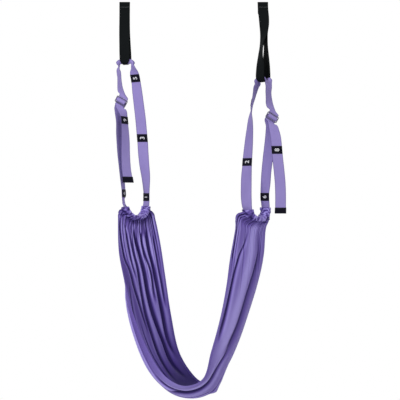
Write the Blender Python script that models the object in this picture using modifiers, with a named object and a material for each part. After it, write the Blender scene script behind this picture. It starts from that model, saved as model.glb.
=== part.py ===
"""Door-mounted yoga strap: two webbing anchors over a door's top edge, two adjustable loops and a gathered sling.

Metres, +Z up. The origin is midway between the anchors, on the corner where the door's front face
meets its top: the door fills y > 0 and z < 0, and everything below the anchors hangs in front of it.
Run it with: blender --background --python part.py
"""

import math

import bmesh
import bpy
import numpy as np
from mathutils import Matrix, Vector

# Webbing and fit
WEB_WIDTH = 0.038
ANCHOR_WEB_THICK = 0.0022
ADJUST_WEB_THICK = 0.0018
FIT_GAP = 0.0003

# Door and anchors
ANCHOR_SPACING = 0.500
DOOR_THICK = 0.040
DOOR_EDGE_RADIUS = 0.003
DOOR_BACK_GAP = 0.0010
STOP_RADIUS = 0.014
STOP_CORE_RADIUS = 0.0075
STOP_LENGTH = 0.037
STOP_DROP = 0.010
# How far the straps spread apart behind the door's front edge, for each metre of depth
ANCHOR_SPLAY = 0.095
EDGE_RUN = 0.0065
TACK_SIZE = (0.031, 0.0007, 0.0022)
TACK_DROP = 0.016

# Loops, from the bottom of each black eye to the bottom of the loop in its casing
LEFT_DROP = 0.228
RIGHT_DROP = 0.291
LEFT_LOOP = 0.534
RIGHT_LOOP = 0.488
LEFT_EYE_RADIUS = 0.0099
RIGHT_EYE_RADIUS = 0.0178
ARCH_SHOULDER = 0.0026
ARCH_RISE = 0.0006
LEFT_ARCH_CURL = 0.0070
RIGHT_ARCH_CURL = 0.0146

# Adjuster sliders: bars of one round section, joined into a ladder with two slots
SLIDER_BAR_RADIUS = 0.0015
SLIDER_WEB_CLEARANCE = 0.0009
SLIDER_REACH = 0.0105
SLIDER_END_CLEARANCE = 0.0014
THREAD_REACH = 0.0032

# Number labels, sewn flat on the webbing, and end tabs, wrapped round it
LABEL_HEIGHT = 0.028
LABEL_THICK = 0.0006
LABEL_GAP = 0.00035
LABEL_ROWS = 4
TAB_HEIGHT = 0.021
TAB_THICK = 0.0009
LONG_LEG_LABELS = {"left": (0.276, 0.491, 0.703), "right": (0.366, 0.579)}
BACK_LABELS = {"left": (0.690,), "right": (0.702,)}
TAIL_LABELS = {"left": (0.430,), "right": (0.536,)}
LINK_ENDS = {"left": (0.262, 0.2935), "right": (0.336, 0.3895)}

# Sling and the casings that its ends are gathered on
CLOTH_THICK = 0.0016
CASING_HALF_WIDTH = 0.0235
CASING_HALF_DEPTH = 0.0088
CASING_FLARE = 0.0045
CASING_REST_GAP = 0.00045
CASING_MOUTH_GAP = 0.0030
CASING_SEAM_INSET = 0.004
CASING_RUFFLES = 9
CASING_RUFFLE_DEPTH = 0.0011
LEFT_FOLDS = 5
LEFT_FOLD_DEPTH = 0.0100
RIGHT_VALLEYS = (0.16, 0.82)
RIGHT_FOLD_DEPTH = 0.0120
BELLY_CREASE = ((0.42, 0.55, 0.62, 0.68), (0.10, 0.13, 0.24, 0.32))
BELLY_CREASE_DEPTH = 0.0080

# Fineness of the solids
WEB_STEP = 0.016
BEND_STEP = 0.0042
CLOTH_COLUMNS = 21
ROUND_SEGMENTS = 20

PARTS = "door_yoga_strap"
CUTTERS = "door_yoga_strap_cutters"


def clear_scene():
    for obj in list(bpy.data.objects):
        bpy.data.objects.remove(obj, do_unlink=True)


def collection(name):
    found = bpy.data.collections.get(name)
    if found is None:
        found = bpy.data.collections.new(name)
        bpy.context.scene.collection.children.link(found)
    return found


def material(name, colour, roughness, metallic=0.0):
    found = bpy.data.materials.get(name)
    if found is not None:
        return found
    made = bpy.data.materials.new(name)
    made.use_nodes = True
    shader = made.node_tree.nodes["Principled BSDF"]
    shader.inputs["Base Color"].default_value = (*colour, 1.0)
    shader.inputs["Roughness"].default_value = roughness
    shader.inputs["Metallic"].default_value = metallic
    return made


def black_webbing():
    return material("black_webbing", (0.012, 0.013, 0.016), 0.85)


def lilac_webbing():
    return material("lilac_webbing", (0.32, 0.24, 0.62), 0.8)


def label_cloth():
    return material("label_cloth", (0.010, 0.009, 0.022), 0.7)


def sling_cloth():
    return material("sling_cloth", (0.19, 0.12, 0.47), 0.6)


def slider_metal():
    return material("slider_metal", (0.22, 0.22, 0.26), 0.35, 0.9)


def stop_foam():
    return material("stop_foam", (0.02, 0.02, 0.022), 0.95)


def stop_plastic():
    return material("stop_plastic", (0.06, 0.06, 0.065), 0.5)


def tack_thread():
    return material("tack_thread", (0.03, 0.03, 0.035), 0.7)


def add_object(name, mesh, finish, folder=PARTS):
    obj = bpy.data.objects.new(name, mesh)
    collection(folder).objects.link(obj)
    if finish is not None:
        mesh.materials.append(finish)
    if folder == CUTTERS:
        obj.hide_render = True
        obj.display_type = "WIRE"
    return obj


def solidify(obj, thickness):
    wall = obj.modifiers.new("thickness", "SOLIDIFY")
    wall.thickness = thickness
    wall.offset = 0.0
    wall.use_even_offset = True
    return wall


def subtract(obj, cutter):
    cut = obj.modifiers.new("cut_" + cutter.name, "BOOLEAN")
    cut.operation = "DIFFERENCE"
    cut.solver = "EXACT"
    cut.object = cutter
    return cut


def spline(stops, rows, at):
    """Smooth curve through rows at the parameter values stops, evaluated at the values at."""
    stops = np.asarray(stops, float)
    rows = np.asarray(rows, float)
    at = np.clip(np.atleast_1d(np.asarray(at, float)), stops[0], stops[-1])
    step = np.diff(stops)
    secant = np.diff(rows, axis=0) / step.reshape(-1, *[1] * (rows.ndim - 1))
    slope = np.empty_like(rows)
    slope[0], slope[-1] = secant[0], secant[-1]
    for i in range(1, len(stops) - 1):
        before, after = step[i - 1], step[i]
        slope[i] = (after * secant[i - 1] + before * secant[i]) / (before + after)
    k = np.clip(np.searchsorted(stops, at, side="right") - 1, 0, len(stops) - 2)
    shape = (-1, *[1] * (rows.ndim - 1))
    h = step[k].reshape(shape)
    t = ((at - stops[k]) / step[k]).reshape(shape)
    return (
        (2 * t**3 - 3 * t**2 + 1) * rows[k]
        + (t**3 - 2 * t**2 + t) * h * slope[k]
        + (3 * t**2 - 2 * t**3) * rows[k + 1]
        + (t**3 - t**2) * h * slope[k + 1]
    )


def unit(vector):
    return vector / np.linalg.norm(vector, axis=-1, keepdims=True)


class Ribbon:
    """A strip of webbing along stations of (x, y, z, turn, lean, bend).

    turn is the angle in degrees of its width about Z, from +X; lean lifts its far end; bend is
    the curvature, in 1/m, with which its edges curl towards its outer face.
    """

    def __init__(self, stations):
        self.rows = np.array(stations, float)
        chord = np.linalg.norm(np.diff(self.rows[:, :3], axis=0), axis=1)
        self.stops = np.concatenate([[0.0], np.cumsum(chord)])
        self.length = self.stops[-1]

    def frames(self, s):
        s = np.atleast_1d(np.asarray(s, float))
        row = spline(self.stops, self.rows, s)
        small = 1e-4
        ahead = spline(self.stops, self.rows, np.minimum(s + small, self.length))
        behind = spline(self.stops, self.rows, np.maximum(s - small, 0.0))
        along = unit(ahead[:, :3] - behind[:, :3])
        turn, lean = np.radians(row[:, 3]), np.radians(row[:, 4])
        width = np.stack(
            [np.cos(turn) * np.cos(lean), np.sin(turn) * np.cos(lean), np.sin(lean)], axis=1
        )
        out = unit(np.cross(along, width))
        return row[:, :3], along, width, out, np.maximum(row[:, 5], 0.0)

    def points(self, s, across, lift=0.0):
        """Points at distances s along the strip and across its middle line, lift above it."""
        centre, _, width, out, bend = self.frames(s)
        side, rise = curled(across, bend)
        return centre + width * side[:, None] + out * (rise + lift)[:, None]

    def nearest(self, z, low=0.0, high=None):
        """The distance along the strip at which it passes the height z."""
        s = np.linspace(low, self.length if high is None else high, 400)
        height = spline(self.stops, self.rows, s)[:, 2]
        return float(s[np.argmin(np.abs(height - z))])


def curled(across, bend):
    """Where a point of a strip lies once its edges curl up: a round gutter, then straight sides."""
    across = np.asarray(across, float) * np.ones_like(bend)
    side, rise = across.copy(), np.zeros_like(across)
    for i, (offset, k) in enumerate(zip(across, bend)):
        if k < 1.0:
            continue
        radius = 1.0 / k
        angle = min(abs(offset) / radius, math.pi / 2)
        straight = abs(offset) - angle * radius
        side[i] = math.copysign(radius * math.sin(angle), offset)
        rise[i] = radius * (1 - math.cos(angle)) + straight
    return side, rise


def grid(rows, columns, place):
    """A sheet of rows by columns faces, each vertex put at place(share along, share across)."""
    bm = bmesh.new()
    bmesh.ops.create_grid(bm, x_segments=columns, y_segments=rows, size=0.5)
    along = np.array([v.co.y + 0.5 for v in bm.verts])
    across = np.array([v.co.x + 0.5 for v in bm.verts])
    for vertex, point in zip(bm.verts, place(along, across)):
        vertex.co = point
    return bm


def finish_mesh(name, bm, merge=0.0):
    if merge:
        bmesh.ops.remove_doubles(bm, verts=bm.verts, dist=merge)
    mesh = bpy.data.meshes.new(name)
    bm.to_mesh(mesh)
    bm.free()
    mesh.shade_smooth()
    mesh.set_sharp_from_angle(angle=math.radians(40))
    return mesh


def row_stops(low, high, step, fine=()):
    """Distances at which a strip has rows: even steps, and the given finer ones in between."""
    coarse = np.linspace(low, high, max(2, round((high - low) / step)) + 1)
    for begin, end, rows in fine:
        margin = 0.3 * step
        clear = (coarse < begin - margin) | (coarse > end + margin)
        clear[0] = coarse[0] < begin - 1e-6
        clear[-1] = coarse[-1] > end + 1e-6
        coarse = np.sort(np.concatenate([coarse[clear], np.linspace(begin, end, rows + 1)]))
    return coarse


def strip(name, ribbon, stops, thickness, finish, columns=2):
    """A stretch of a ribbon as a solid strip, with a row of vertices at each of the stops."""

    def place(along, across):
        s = stops[np.round(along * (len(stops) - 1)).astype(int)]
        return ribbon.points(s, (across - 0.5) * WEB_WIDTH)

    obj = add_object(name, finish_mesh(name, grid(len(stops) - 1, columns, place)), finish)
    solidify(obj, thickness)
    return obj


def band(name, ribbon, low, high, web_thickness, wall, finish):
    """A flat sleeve sewn round the webbing between two distances along it."""
    half_width = WEB_WIDTH / 2 + LABEL_GAP + wall / 2
    half_depth = web_thickness / 2 + LABEL_GAP + wall / 2
    corners = [(-1, -1), (0, -1), (1, -1), (1, 1), (0, 1), (-1, 1), (-1, -1)]
    sides = len(corners) - 1

    def place(along, across):
        corner = [corners[round(share * sides)] for share in across]
        side = np.array([c[0] for c in corner]) * half_width
        lift = np.array([c[1] for c in corner]) * half_depth
        return ribbon.points(low + along * (high - low), side, lift)

    bm = grid(LABEL_ROWS, sides, place)
    bmesh.ops.remove_doubles(bm, verts=bm.verts, dist=1e-5)
    bmesh.ops.recalc_face_normals(bm, faces=bm.faces)
    obj = add_object(name, finish_mesh(name, bm), finish)
    solidify(obj, wall)
    return obj


def facing(ribbon, s):
    """The face of a ribbon that is turned to the front at a distance along it: 1 or -1."""
    here = ribbon.points(np.array([s]), np.array([0.0]), np.array([0.0]))[0]
    lifted = ribbon.points(np.array([s]), np.array([0.0]), np.array([0.001]))[0]
    return 1.0 if lifted[1] < here[1] else -1.0


def patch(name, ribbon, low, high, face, wall, finish):
    """A label sewn flat on one face of the webbing between two distances along it."""
    lift = face * (ADJUST_WEB_THICK / 2 + LABEL_GAP + wall / 2)

    def place(along, across):
        s = low + along * (high - low)
        return ribbon.points(s, (across - 0.5) * WEB_WIDTH, np.full(len(s), lift))

    obj = add_object(name, finish_mesh(name, grid(LABEL_ROWS, 2, place)), finish)
    solidify(obj, wall)
    return obj


# Anchors


def stop_centre():
    """The door stop's axis, behind the door's top edge."""
    wrap = wrap_radius()
    return Vector((0, DOOR_THICK + DOOR_BACK_GAP + ANCHOR_WEB_THICK / 2 + wrap, -STOP_DROP))


def wrap_radius():
    return STOP_RADIUS + FIT_GAP + ANCHOR_WEB_THICK / 2


def layer_height(outer):
    """Height of a layer's middle over the door's top: the inner layer lies on the door."""
    inner = ANCHOR_WEB_THICK / 2
    return inner + (ANCHOR_WEB_THICK + FIT_GAP) * outer


def pair_height():
    return (layer_height(0) + layer_height(1)) / 2


def tangent_angle(point, centre, radius, side):
    """Angle about centre, in the YZ plane, of the tangent point seen from point."""
    dy, dz = point[0] - centre[0], point[1] - centre[1]
    return math.atan2(dz, dy) - side * math.acos(radius / math.hypot(dy, dz))


def anchor_top(side, x):
    """The doubled strap over the door's top, opened out round the door stop behind it."""
    centre = stop_centre()
    hub = (centre.y, centre.z)
    fork = DOOR_THICK + DOOR_BACK_GAP
    start = DOOR_EDGE_RADIUS + FIT_GAP + 0.0012
    upper = tangent_angle((fork, layer_height(1)), hub, wrap_radius(), 1)
    lower = tangent_angle((fork, layer_height(0)), hub, wrap_radius(), -1)
    if lower > upper:
        lower -= 2 * math.pi
    turns = np.linspace(upper, lower, 19)
    splay = ANCHOR_SPLAY if x > 0 else -ANCHOR_SPLAY
    path = [(start, layer_height(1)), ((start + fork) / 2, layer_height(1))]
    path += [(fork, layer_height(1))]
    path += [(hub[0] + wrap_radius() * math.cos(a), hub[1] + wrap_radius() * math.sin(a)) for a in turns]
    path += [(fork, layer_height(0))]
    path += [((start + fork) / 2, layer_height(0)), (start, layer_height(0))]

    def place(along, across):
        index = np.round(along * (len(path) - 1)).astype(int)
        y = np.array([path[i][0] for i in index])
        z = np.array([path[i][1] for i in index])
        slant = splay * (y - start)
        return np.stack([x + slant + (across - 0.5) * WEB_WIDTH, y, z], axis=1)

    name = f"anchor_strap_top_{side}"
    obj = add_object(name, finish_mesh(name, grid(len(path) - 1, 1, place)), black_webbing())
    solidify(obj, ANCHOR_WEB_THICK)


def anchor_edge(side, x):
    """The doubled strap where it bends over the door's front top edge, sewn as one."""
    middle = pair_height()
    radius = DOOR_EDGE_RADIUS + middle
    turns = np.radians(np.linspace(90, 180, 7))
    path = [(DOOR_EDGE_RADIUS + 0.0012, middle)]
    path += [
        (DOOR_EDGE_RADIUS + radius * math.cos(a), -DOOR_EDGE_RADIUS + radius * math.sin(a))
        for a in turns
    ]
    path += [(-middle, -DOOR_EDGE_RADIUS - EDGE_RUN)]

    def place(along, across):
        index = np.round(along * (len(path) - 1)).astype(int)
        y = np.array([path[i][0] for i in index])
        z = np.array([path[i][1] for i in index])
        return np.stack([x + (across - 0.5) * WEB_WIDTH, y, z], axis=1)

    name = f"anchor_strap_edge_{side}"
    obj = add_object(name, finish_mesh(name, grid(len(path) - 1, 1, place)), black_webbing())
    solidify(obj, 2 * ANCHOR_WEB_THICK + FIT_GAP)


def drop_ribbon(side, x):
    """The hanging half of the black strap: down its back layer, round the eye, up its front."""
    top = -DOOR_EDGE_RADIUS - EDGE_RUN - FIT_GAP
    back, front = -layer_height(0), -layer_height(1)
    eye, turn, radius = eye_place(side, x)
    bottom = eye.z - radius
    if side == "left":
        behind = [
            (1.000, 0.0000, back, 0), (0.800, 0.0000, back - 0.0006, 0),
            (0.560, 0.0010, -0.0056, -3), (0.330, 0.0042, -0.0104, -9),
            (0.160, 0.0070, -0.0132, -14), (0.085, 0.0078, -0.0138, turn),
        ]
        before = [
            (0.085, 0.0024, -0.0330, turn), (0.160, 0.0020, -0.0322, -14),
            (0.330, 0.0012, -0.0242, -9), (0.560, 0.0000, -0.0124, -3),
            (0.800, 0.0000, front - 0.0016, 0), (1.000, 0.0000, front, 0),
        ]
    else:
        behind = [
            (1.000, 0.0000, back, 0), (0.930, 0.0010, -0.0016, -2),
            (0.860, 0.0030, -0.0058, -14), (0.760, 0.0044, -0.0108, -28),
            (0.620, 0.0040, -0.0160, -53), (0.500, 0.0086, -0.0180, -72),
            (0.330, 0.0102, -0.0184, -63), (0.180, 0.0106, -0.0190, -48),
            (0.100, 0.0110, -0.0194, turn),
        ]
        before = [
            (0.100, -0.0138, -0.0442, turn), (0.180, -0.0126, -0.0428, -48),
            (0.330, -0.0112, -0.0332, -68), (0.500, -0.0052, -0.0262, -73),
            (0.620, 0.0016, -0.0212, -53), (0.760, 0.0036, -0.0150, -28),
            (0.860, 0.0026, -0.0092, -14), (0.930, 0.0010, -0.0046, -2),
            (1.000, 0.0000, front, 0),
        ]
    heading = math.radians(turn)
    across = Vector((-math.sin(heading), math.cos(heading), 0))
    rows = [(x + dx, y, bottom + share * (top - bottom), t, 0, 0) for share, dx, y, t in behind]
    for angle in np.radians(np.linspace(0, -180, 9)):
        point = eye + across * radius * math.cos(angle) + Vector((0, 0, radius * math.sin(angle)))
        rows.append((*point, turn, 0, 0))
    rows += [(x + dx, y, bottom + share * (top - bottom), t, 0, 0) for share, dx, y, t in before]
    return Ribbon(rows)


def eye_place(side, x):
    """Centre of the black eye's round bottom, the turn of its webbing, and its middle radius."""
    if side == "left":
        radius, turn, centre = LEFT_EYE_RADIUS, -16, Vector((x + 0.0051, -0.0235, 0))
        centre.z = -LEFT_DROP + ANCHOR_WEB_THICK / 2 + radius
    else:
        radius, turn, centre = RIGHT_EYE_RADIUS, -45, Vector((x - 0.0014, -0.0318, 0))
        centre.z = -RIGHT_DROP + ANCHOR_WEB_THICK / 2 + radius
    return centre, turn, radius


def stop_pieces(side, x):
    """The foam roll behind the door, with its stiff core."""
    outward = ANCHOR_SPLAY if x > 0 else -ANCHOR_SPLAY
    centre = stop_centre() + Vector((x, 0, 0))
    centre.x += outward * (centre.y - DOOR_EDGE_RADIUS)
    turn = Matrix.Rotation(math.pi / 2, 4, "Y")
    for name, inner, outer, length, finish in (
        (f"door_stop_core_{side}", 0.0, STOP_CORE_RADIUS - FIT_GAP, STOP_LENGTH, stop_plastic()),
        (f"door_stop_foam_{side}", STOP_CORE_RADIUS, STOP_RADIUS, STOP_LENGTH - 0.002, stop_foam()),
    ):
        if inner:
            mesh = bpy.data.meshes.new(name)
            half = length / 2
            corners = [(inner, half), (outer, half), (outer, -half), (inner, -half)]
            mesh.from_pydata(
                [(r, 0, z) for r, z in corners], [(0, 1), (1, 2), (2, 3), (3, 0)], []
            )
            obj = add_object(name, mesh, finish)
            screw = obj.modifiers.new("turn", "SCREW")
            screw.steps = screw.render_steps = ROUND_SEGMENTS
            screw.use_merge_vertices = True
            screw.merge_threshold = 1e-5
            screw.use_smooth_shade = True
        else:
            bm = bmesh.new()
            bmesh.ops.create_cone(
                bm, cap_ends=True, segments=ROUND_SEGMENTS, radius1=outer, radius2=outer, depth=length
            )
            obj = add_object(name, finish_mesh(name, bm), finish)
        obj.matrix_world = Matrix.Translation(centre) @ turn


def tack(side, x):
    """The bar of stitches that joins the strap's two layers below the door's edge."""
    name = f"bar_tack_{side}"
    bm = bmesh.new()
    bmesh.ops.create_cube(bm, size=1.0)
    bmesh.ops.scale(bm, vec=TACK_SIZE, verts=bm.verts)
    obj = add_object(name, finish_mesh(name, bm), tack_thread())
    face = -layer_height(1) - ANCHOR_WEB_THICK / 2
    obj.location = (x + 0.0002, face - 2 * FIT_GAP - TACK_SIZE[1] / 2 - 0.0004, -TACK_DROP)
    soften = obj.modifiers.new("rounded", "BEVEL")
    soften.width = 0.0003
    soften.segments = 1


# Adjustable loops


def slider_frame(side, x):
    """Centre and axes of a slider: its bars' direction, the way up the strap, and its face."""
    if side == "left":
        centre = Vector((x - 0.0085, -0.0430, -LEFT_DROP - 0.248 * LEFT_LOOP))
    else:
        centre = Vector((x + 0.0290, -0.0560, -RIGHT_DROP - 0.262 * RIGHT_LOOP))
    turn, lean = slider_angles(side)
    turn, lean = math.radians(turn), math.radians(lean)
    bars = Vector((math.cos(turn) * math.cos(lean), math.sin(turn) * math.cos(lean), math.sin(lean)))
    up = Vector((0, 0, 1))
    up = (up - bars * up.dot(bars)).normalized()
    return centre, bars, up, up.cross(bars)


def in_slider(side, x, up_by, out_by):
    centre, _, up, out = slider_frame(side, x)
    return centre + up * up_by + out * out_by


def slider_angles(side):
    return (161, 30) if side == "left" else (194, 30)


def over_radius():
    """Radius of the running webbing's middle where it crosses the centre bar and the sewn loop."""
    return behind_bar() + ADJUST_WEB_THICK + FIT_GAP + 0.0002


def behind_bar():
    """How far from a bar's middle the middle of the webbing passes."""
    return SLIDER_BAR_RADIUS + SLIDER_WEB_CLEARANCE + ADJUST_WEB_THICK / 2


def loop_ribbon(side, x):
    """The webbing from the top of the slider, up, over the black eye, down and through the casing,
    and up again to the slider's back, as one ribbon."""
    turn, lean = slider_angles(side)
    drop, height = (LEFT_DROP, LEFT_LOOP) if side == "left" else (RIGHT_DROP, RIGHT_LOOP)
    edge = SLIDER_REACH + THREAD_REACH + 0.0004
    start = [in_slider(side, x, edge + more, -behind_bar()) for more in (0.0, 0.0025)]
    end = [in_slider(side, x, -edge - more, -rear_lap()) for more in (0.0025, 0.0)]
    if side == "left":
        low = 74
        up = [
            (0.192, -0.0078, -0.0375, 142, 20, 0), (0.160, -0.0130, -0.0325, 127, 8, 0),
            (0.120, -0.0158, -0.0280, 119, 2, 0), (0.080, -0.0172, -0.0250, 116, 0, 0),
            (0.050, -0.0180, -0.0236, 113, 0, 6), (0.030, -0.0186, -0.0226, 105, 0, 18),
        ]
        down = [
            (0.028, 0.0306, -0.0292, 121, 0, 20), (0.046, 0.0345, -0.0282, 140, 0, 8),
            (0.062, 0.0375, -0.0272, 150, 0, 0), (0.090, 0.0410, -0.0265, 152, 0, 0),
            (0.118, 0.0432, -0.0262, 153, 0, 0), (0.176, 0.0470, -0.0262, 162, 0, 0),
            (0.267, 0.0530, -0.0270, 168, 0, 0), (0.357, 0.0590, -0.0285, 174, 0, 0),
            (0.466, 0.0645, -0.0305, 176, 0, 0), (0.521, 0.0672, -0.0315, 176, 0, 0),
            (0.579, 0.0690, -0.0325, 174, 0, 0), (0.675, 0.0735, -0.0345, 162, 0, 0),
            (0.761, 0.0790, -0.0365, 146, 0, 0), (0.830, 0.0808, -0.0384, 131, 0, 0),
            (0.862, 0.0814, -0.0395, 127, 0, 0), (0.916, 0.0814, -0.0422, 127, 0, 0),
            (0.950, 0.0792, -0.0460, 129, 0, 0), (0.976, 0.0745, -0.0520, 131, 0, 0),
            (0.993, 0.0660, -0.0620, 132, 0, 0), (1.000, 0.0490, -0.0790, 132, 0, 0),
            (0.993, 0.0300, -0.0970, 132, 0, 0), (0.970, 0.0180, -0.1065, 127, 0, 0),
            (0.938, 0.0130, -0.1080, 108, 0, 0), (0.893, 0.0078, -0.1045, 80, 0, 0),
            (0.837, 0.0045, -0.0995, 76, 0, 0), (0.700, -0.0035, -0.0870, 70, 0, 0),
            (0.580, -0.0105, -0.0735, 66, 0, 0), (0.470, -0.0140, -0.0610, 63, 0, 0),
            (0.370, -0.0150, -0.0500, 56, 0, 0), (0.320, -0.0148, -0.0435, 30, -8, 0),
        ]
    else:
        low = -135
        up = [
            (0.204, 0.0262, -0.0540, -156, 22, 0), (0.172, 0.0208, -0.0528, -142, 10, 0),
            (0.125, 0.0178, -0.0517, -130, 2, 0), (0.080, 0.0162, -0.0508, -127, 0, 0),
            (0.036, 0.0156, -0.0500, -131, 0, 14),
        ]
        down = [
            (0.036, -0.0235, -0.0190, -122, 0, 14), (0.075, -0.0300, -0.0215, -114, 0, 0),
            (0.137, -0.0362, -0.0285, -106, 0, 8), (0.165, -0.0385, -0.0312, -103, 0, 16),
            (0.193, -0.0405, -0.0342, -98, 0, 24), (0.262, -0.0450, -0.0400, -73, 0, 14),
            (0.355, -0.0500, -0.0475, -55, 0, 0), (0.457, -0.0545, -0.0570, -42, 0, 0),
            (0.561, -0.0592, -0.0680, -33, 0, 0), (0.619, -0.0612, -0.0740, -31, 0, 0),
            (0.680, -0.0635, -0.0800, -20, 0, 0), (0.764, -0.0650, -0.0885, -8, 0, 0),
            (0.865, -0.0650, -0.0995, -16, 0, 0), (0.922, -0.0625, -0.1055, -32, 0, 0),
            (0.960, -0.0570, -0.1050, -46, 0, 0), (0.990, -0.0430, -0.0930, -50, 0, 0),
            (1.000, -0.0230, -0.0750, -50, 0, 0), (0.988, -0.0040, -0.0580, -50, 0, 0),
            (0.958, 0.0060, -0.0490, -49, 0, 0), (0.925, 0.0066, -0.0465, -46, 0, 0),
            (0.871, 0.0046, -0.0455, -42, 0, 0), (0.813, 0.0040, -0.0455, -40, 0, 0),
            (0.748, 0.0062, -0.0460, -30, 0, 0), (0.660, 0.0092, -0.0462, -27, 0, 0),
            (0.560, 0.0145, -0.0466, -20, 0, 0), (0.457, 0.0210, -0.0474, -7, 0, 0),
            (0.380, 0.0245, -0.0484, 5, -2, 0), (0.335, 0.0250, -0.0492, 10, -14, 0),
        ]

    def placed(rows):
        return [(x + dx, y, -drop - share * height, t, le, b) for share, dx, y, t, le, b in rows]

    first_turn = turn if side == "left" else turn - 360
    stations = [(*point, first_turn, lean, 0) for point in start]
    stations += placed(up) + arch(side, x, low) + placed(down)
    stations += [(*point, turn - 180, -lean, 0) for point in end]
    return Ribbon(stations)


def arch(side, x, turn):
    """The webbing over the black eye: curled along its bottom, then folded down at its edges."""
    eye, heading, radius = eye_place(side, x)
    curl = 1.0 / (LEFT_ARCH_CURL if side == "left" else RIGHT_ARCH_CURL)
    rise = ANCHOR_WEB_THICK / 2 + FIT_GAP + ARCH_RISE + ADJUST_WEB_THICK / 2
    seat = eye - Vector((0, 0, radius - rise))
    heading = math.radians(heading)
    across = Vector((math.cos(heading), math.sin(heading), 0))
    if side == "left":
        across = -across
    flat, fold = WEB_WIDTH / 2 + 0.0004, ARCH_SHOULDER
    half = [
        (flat + fold, -fold - 0.0040, 0.30, 0.8), (flat + fold, -fold, 0.42, 0.5),
        (flat + fold * 0.7, -fold * 0.3, 0.70, 0.2), (flat, 0.0, 1.0, 0), (flat * 0.5, 0.0, 1.0, 0),
    ]
    twist = (22, 36) if side == "left" else (0, 8)
    way = [(reach, fall, share, twist[0] * part) for reach, fall, share, part in half]
    way += [(0.0, 0.0, 1.0, 0)]
    way += [(-reach, fall, share, twist[1] * part) for reach, fall, share, part in half[::-1]]
    return [
        (*(seat + across * r + Vector((0, 0, f))), turn + more, 0, curl * k)
        for r, f, k, more in way
    ]


def local_ribbon(side, x, path):
    """A ribbon through the slider, from points (up, out) in the slider's own plane."""
    turn, lean = slider_angles(side)
    return Ribbon([(*in_slider(side, x, up, out), turn, lean, 0) for up, out in path])


def rear_lap():
    """How far behind the slider's plane the outer layer of the sewn end leaves it."""
    return behind_bar() + 2 * (ADJUST_WEB_THICK + FIT_GAP + 0.0002) + 0.0003


def threaded_path():
    """Up and out of the running webbing: behind a bar, over the middle, and behind the other."""
    reach, back, over = SLIDER_REACH, behind_bar(), over_radius()
    half = [(reach + THREAD_REACH, -back)]
    cross = math.degrees(math.acos((back + over) / reach))
    for angle in np.radians((-90, -120, cross - 180)):
        half.append((reach + back * math.cos(angle), back * math.sin(angle)))
    for angle in np.radians((cross, 60, 90)):
        half.append((over * math.cos(angle), over * math.sin(angle)))
    return half + [(-up, out) for up, out in half[-2::-1]]


def sewn_path():
    """The sewn end: up the slider's back, round its centre bar and down again, behind itself."""
    wrap, reach = behind_bar(), SLIDER_REACH
    lap = ADJUST_WEB_THICK + FIT_GAP + 0.0002
    first = behind_bar() + lap
    path = [(-reach - THREAD_REACH + 0.0002, -first), (-reach, -first)]
    path += [(-reach + first * 0.5, -first * 0.866), (-0.0047, -0.0028)]
    for angle in np.radians((-10, 20, 55, 90, 125, 160, 190, 220)):
        path.append((-wrap * math.cos(angle), wrap * math.sin(angle)))
    path += [(0.0006, -0.0046), (-0.0030, -0.0066), (-0.0068, -0.0079)]
    path += [(-reach, -rear_lap()), (-reach - THREAD_REACH, -rear_lap())]
    return path


def slider(side, x):
    """A ladder of three bars and two ends, as one casting."""
    name = f"slider_{side}"
    centre, bars, up, out = slider_frame(side, x)
    slot = WEB_WIDTH + 2 * SLIDER_END_CLEARANCE
    thick = 2 * SLIDER_BAR_RADIUS
    bm = bmesh.new()
    bmesh.ops.create_cube(bm, size=1.0)
    size = (slot + 2 * thick, 2 * SLIDER_REACH + thick, thick)
    bmesh.ops.scale(bm, vec=size, verts=bm.verts)
    corners = [e for e in bm.edges if abs((e.verts[0].co - e.verts[1].co).z) > thick / 2]
    bmesh.ops.bevel(
        bm, geom=corners, offset=0.0035, segments=4, affect="EDGES", profile=0.5, material=-1
    )
    obj = add_object(name, finish_mesh(name, bm), slider_metal())
    place = Matrix((bars, up, out)).transposed().to_4x4()
    place.translation = centre
    for which in (1, -1):
        low, high = SLIDER_BAR_RADIUS, SLIDER_REACH - SLIDER_BAR_RADIUS
        hole = bmesh.new()
        bmesh.ops.create_cube(hole, size=1.0)
        bmesh.ops.scale(hole, vec=(slot, high - low, thick * 3), verts=hole.verts)
        bmesh.ops.translate(hole, vec=(0, which * (low + high) / 2, 0), verts=hole.verts)
        label = f"{name}_slot_{'top' if which > 0 else 'bottom'}"
        cutter = add_object(label, finish_mesh(label, hole), None, CUTTERS)
        cutter.matrix_world = place
        subtract(obj, cutter)
    soften = obj.modifiers.new("rounded", "BEVEL")
    soften.width = 0.0013
    soften.segments = 3
    soften.limit_method = "ANGLE"
    soften.angle_limit = math.radians(50)
    obj.matrix_world = place


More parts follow.
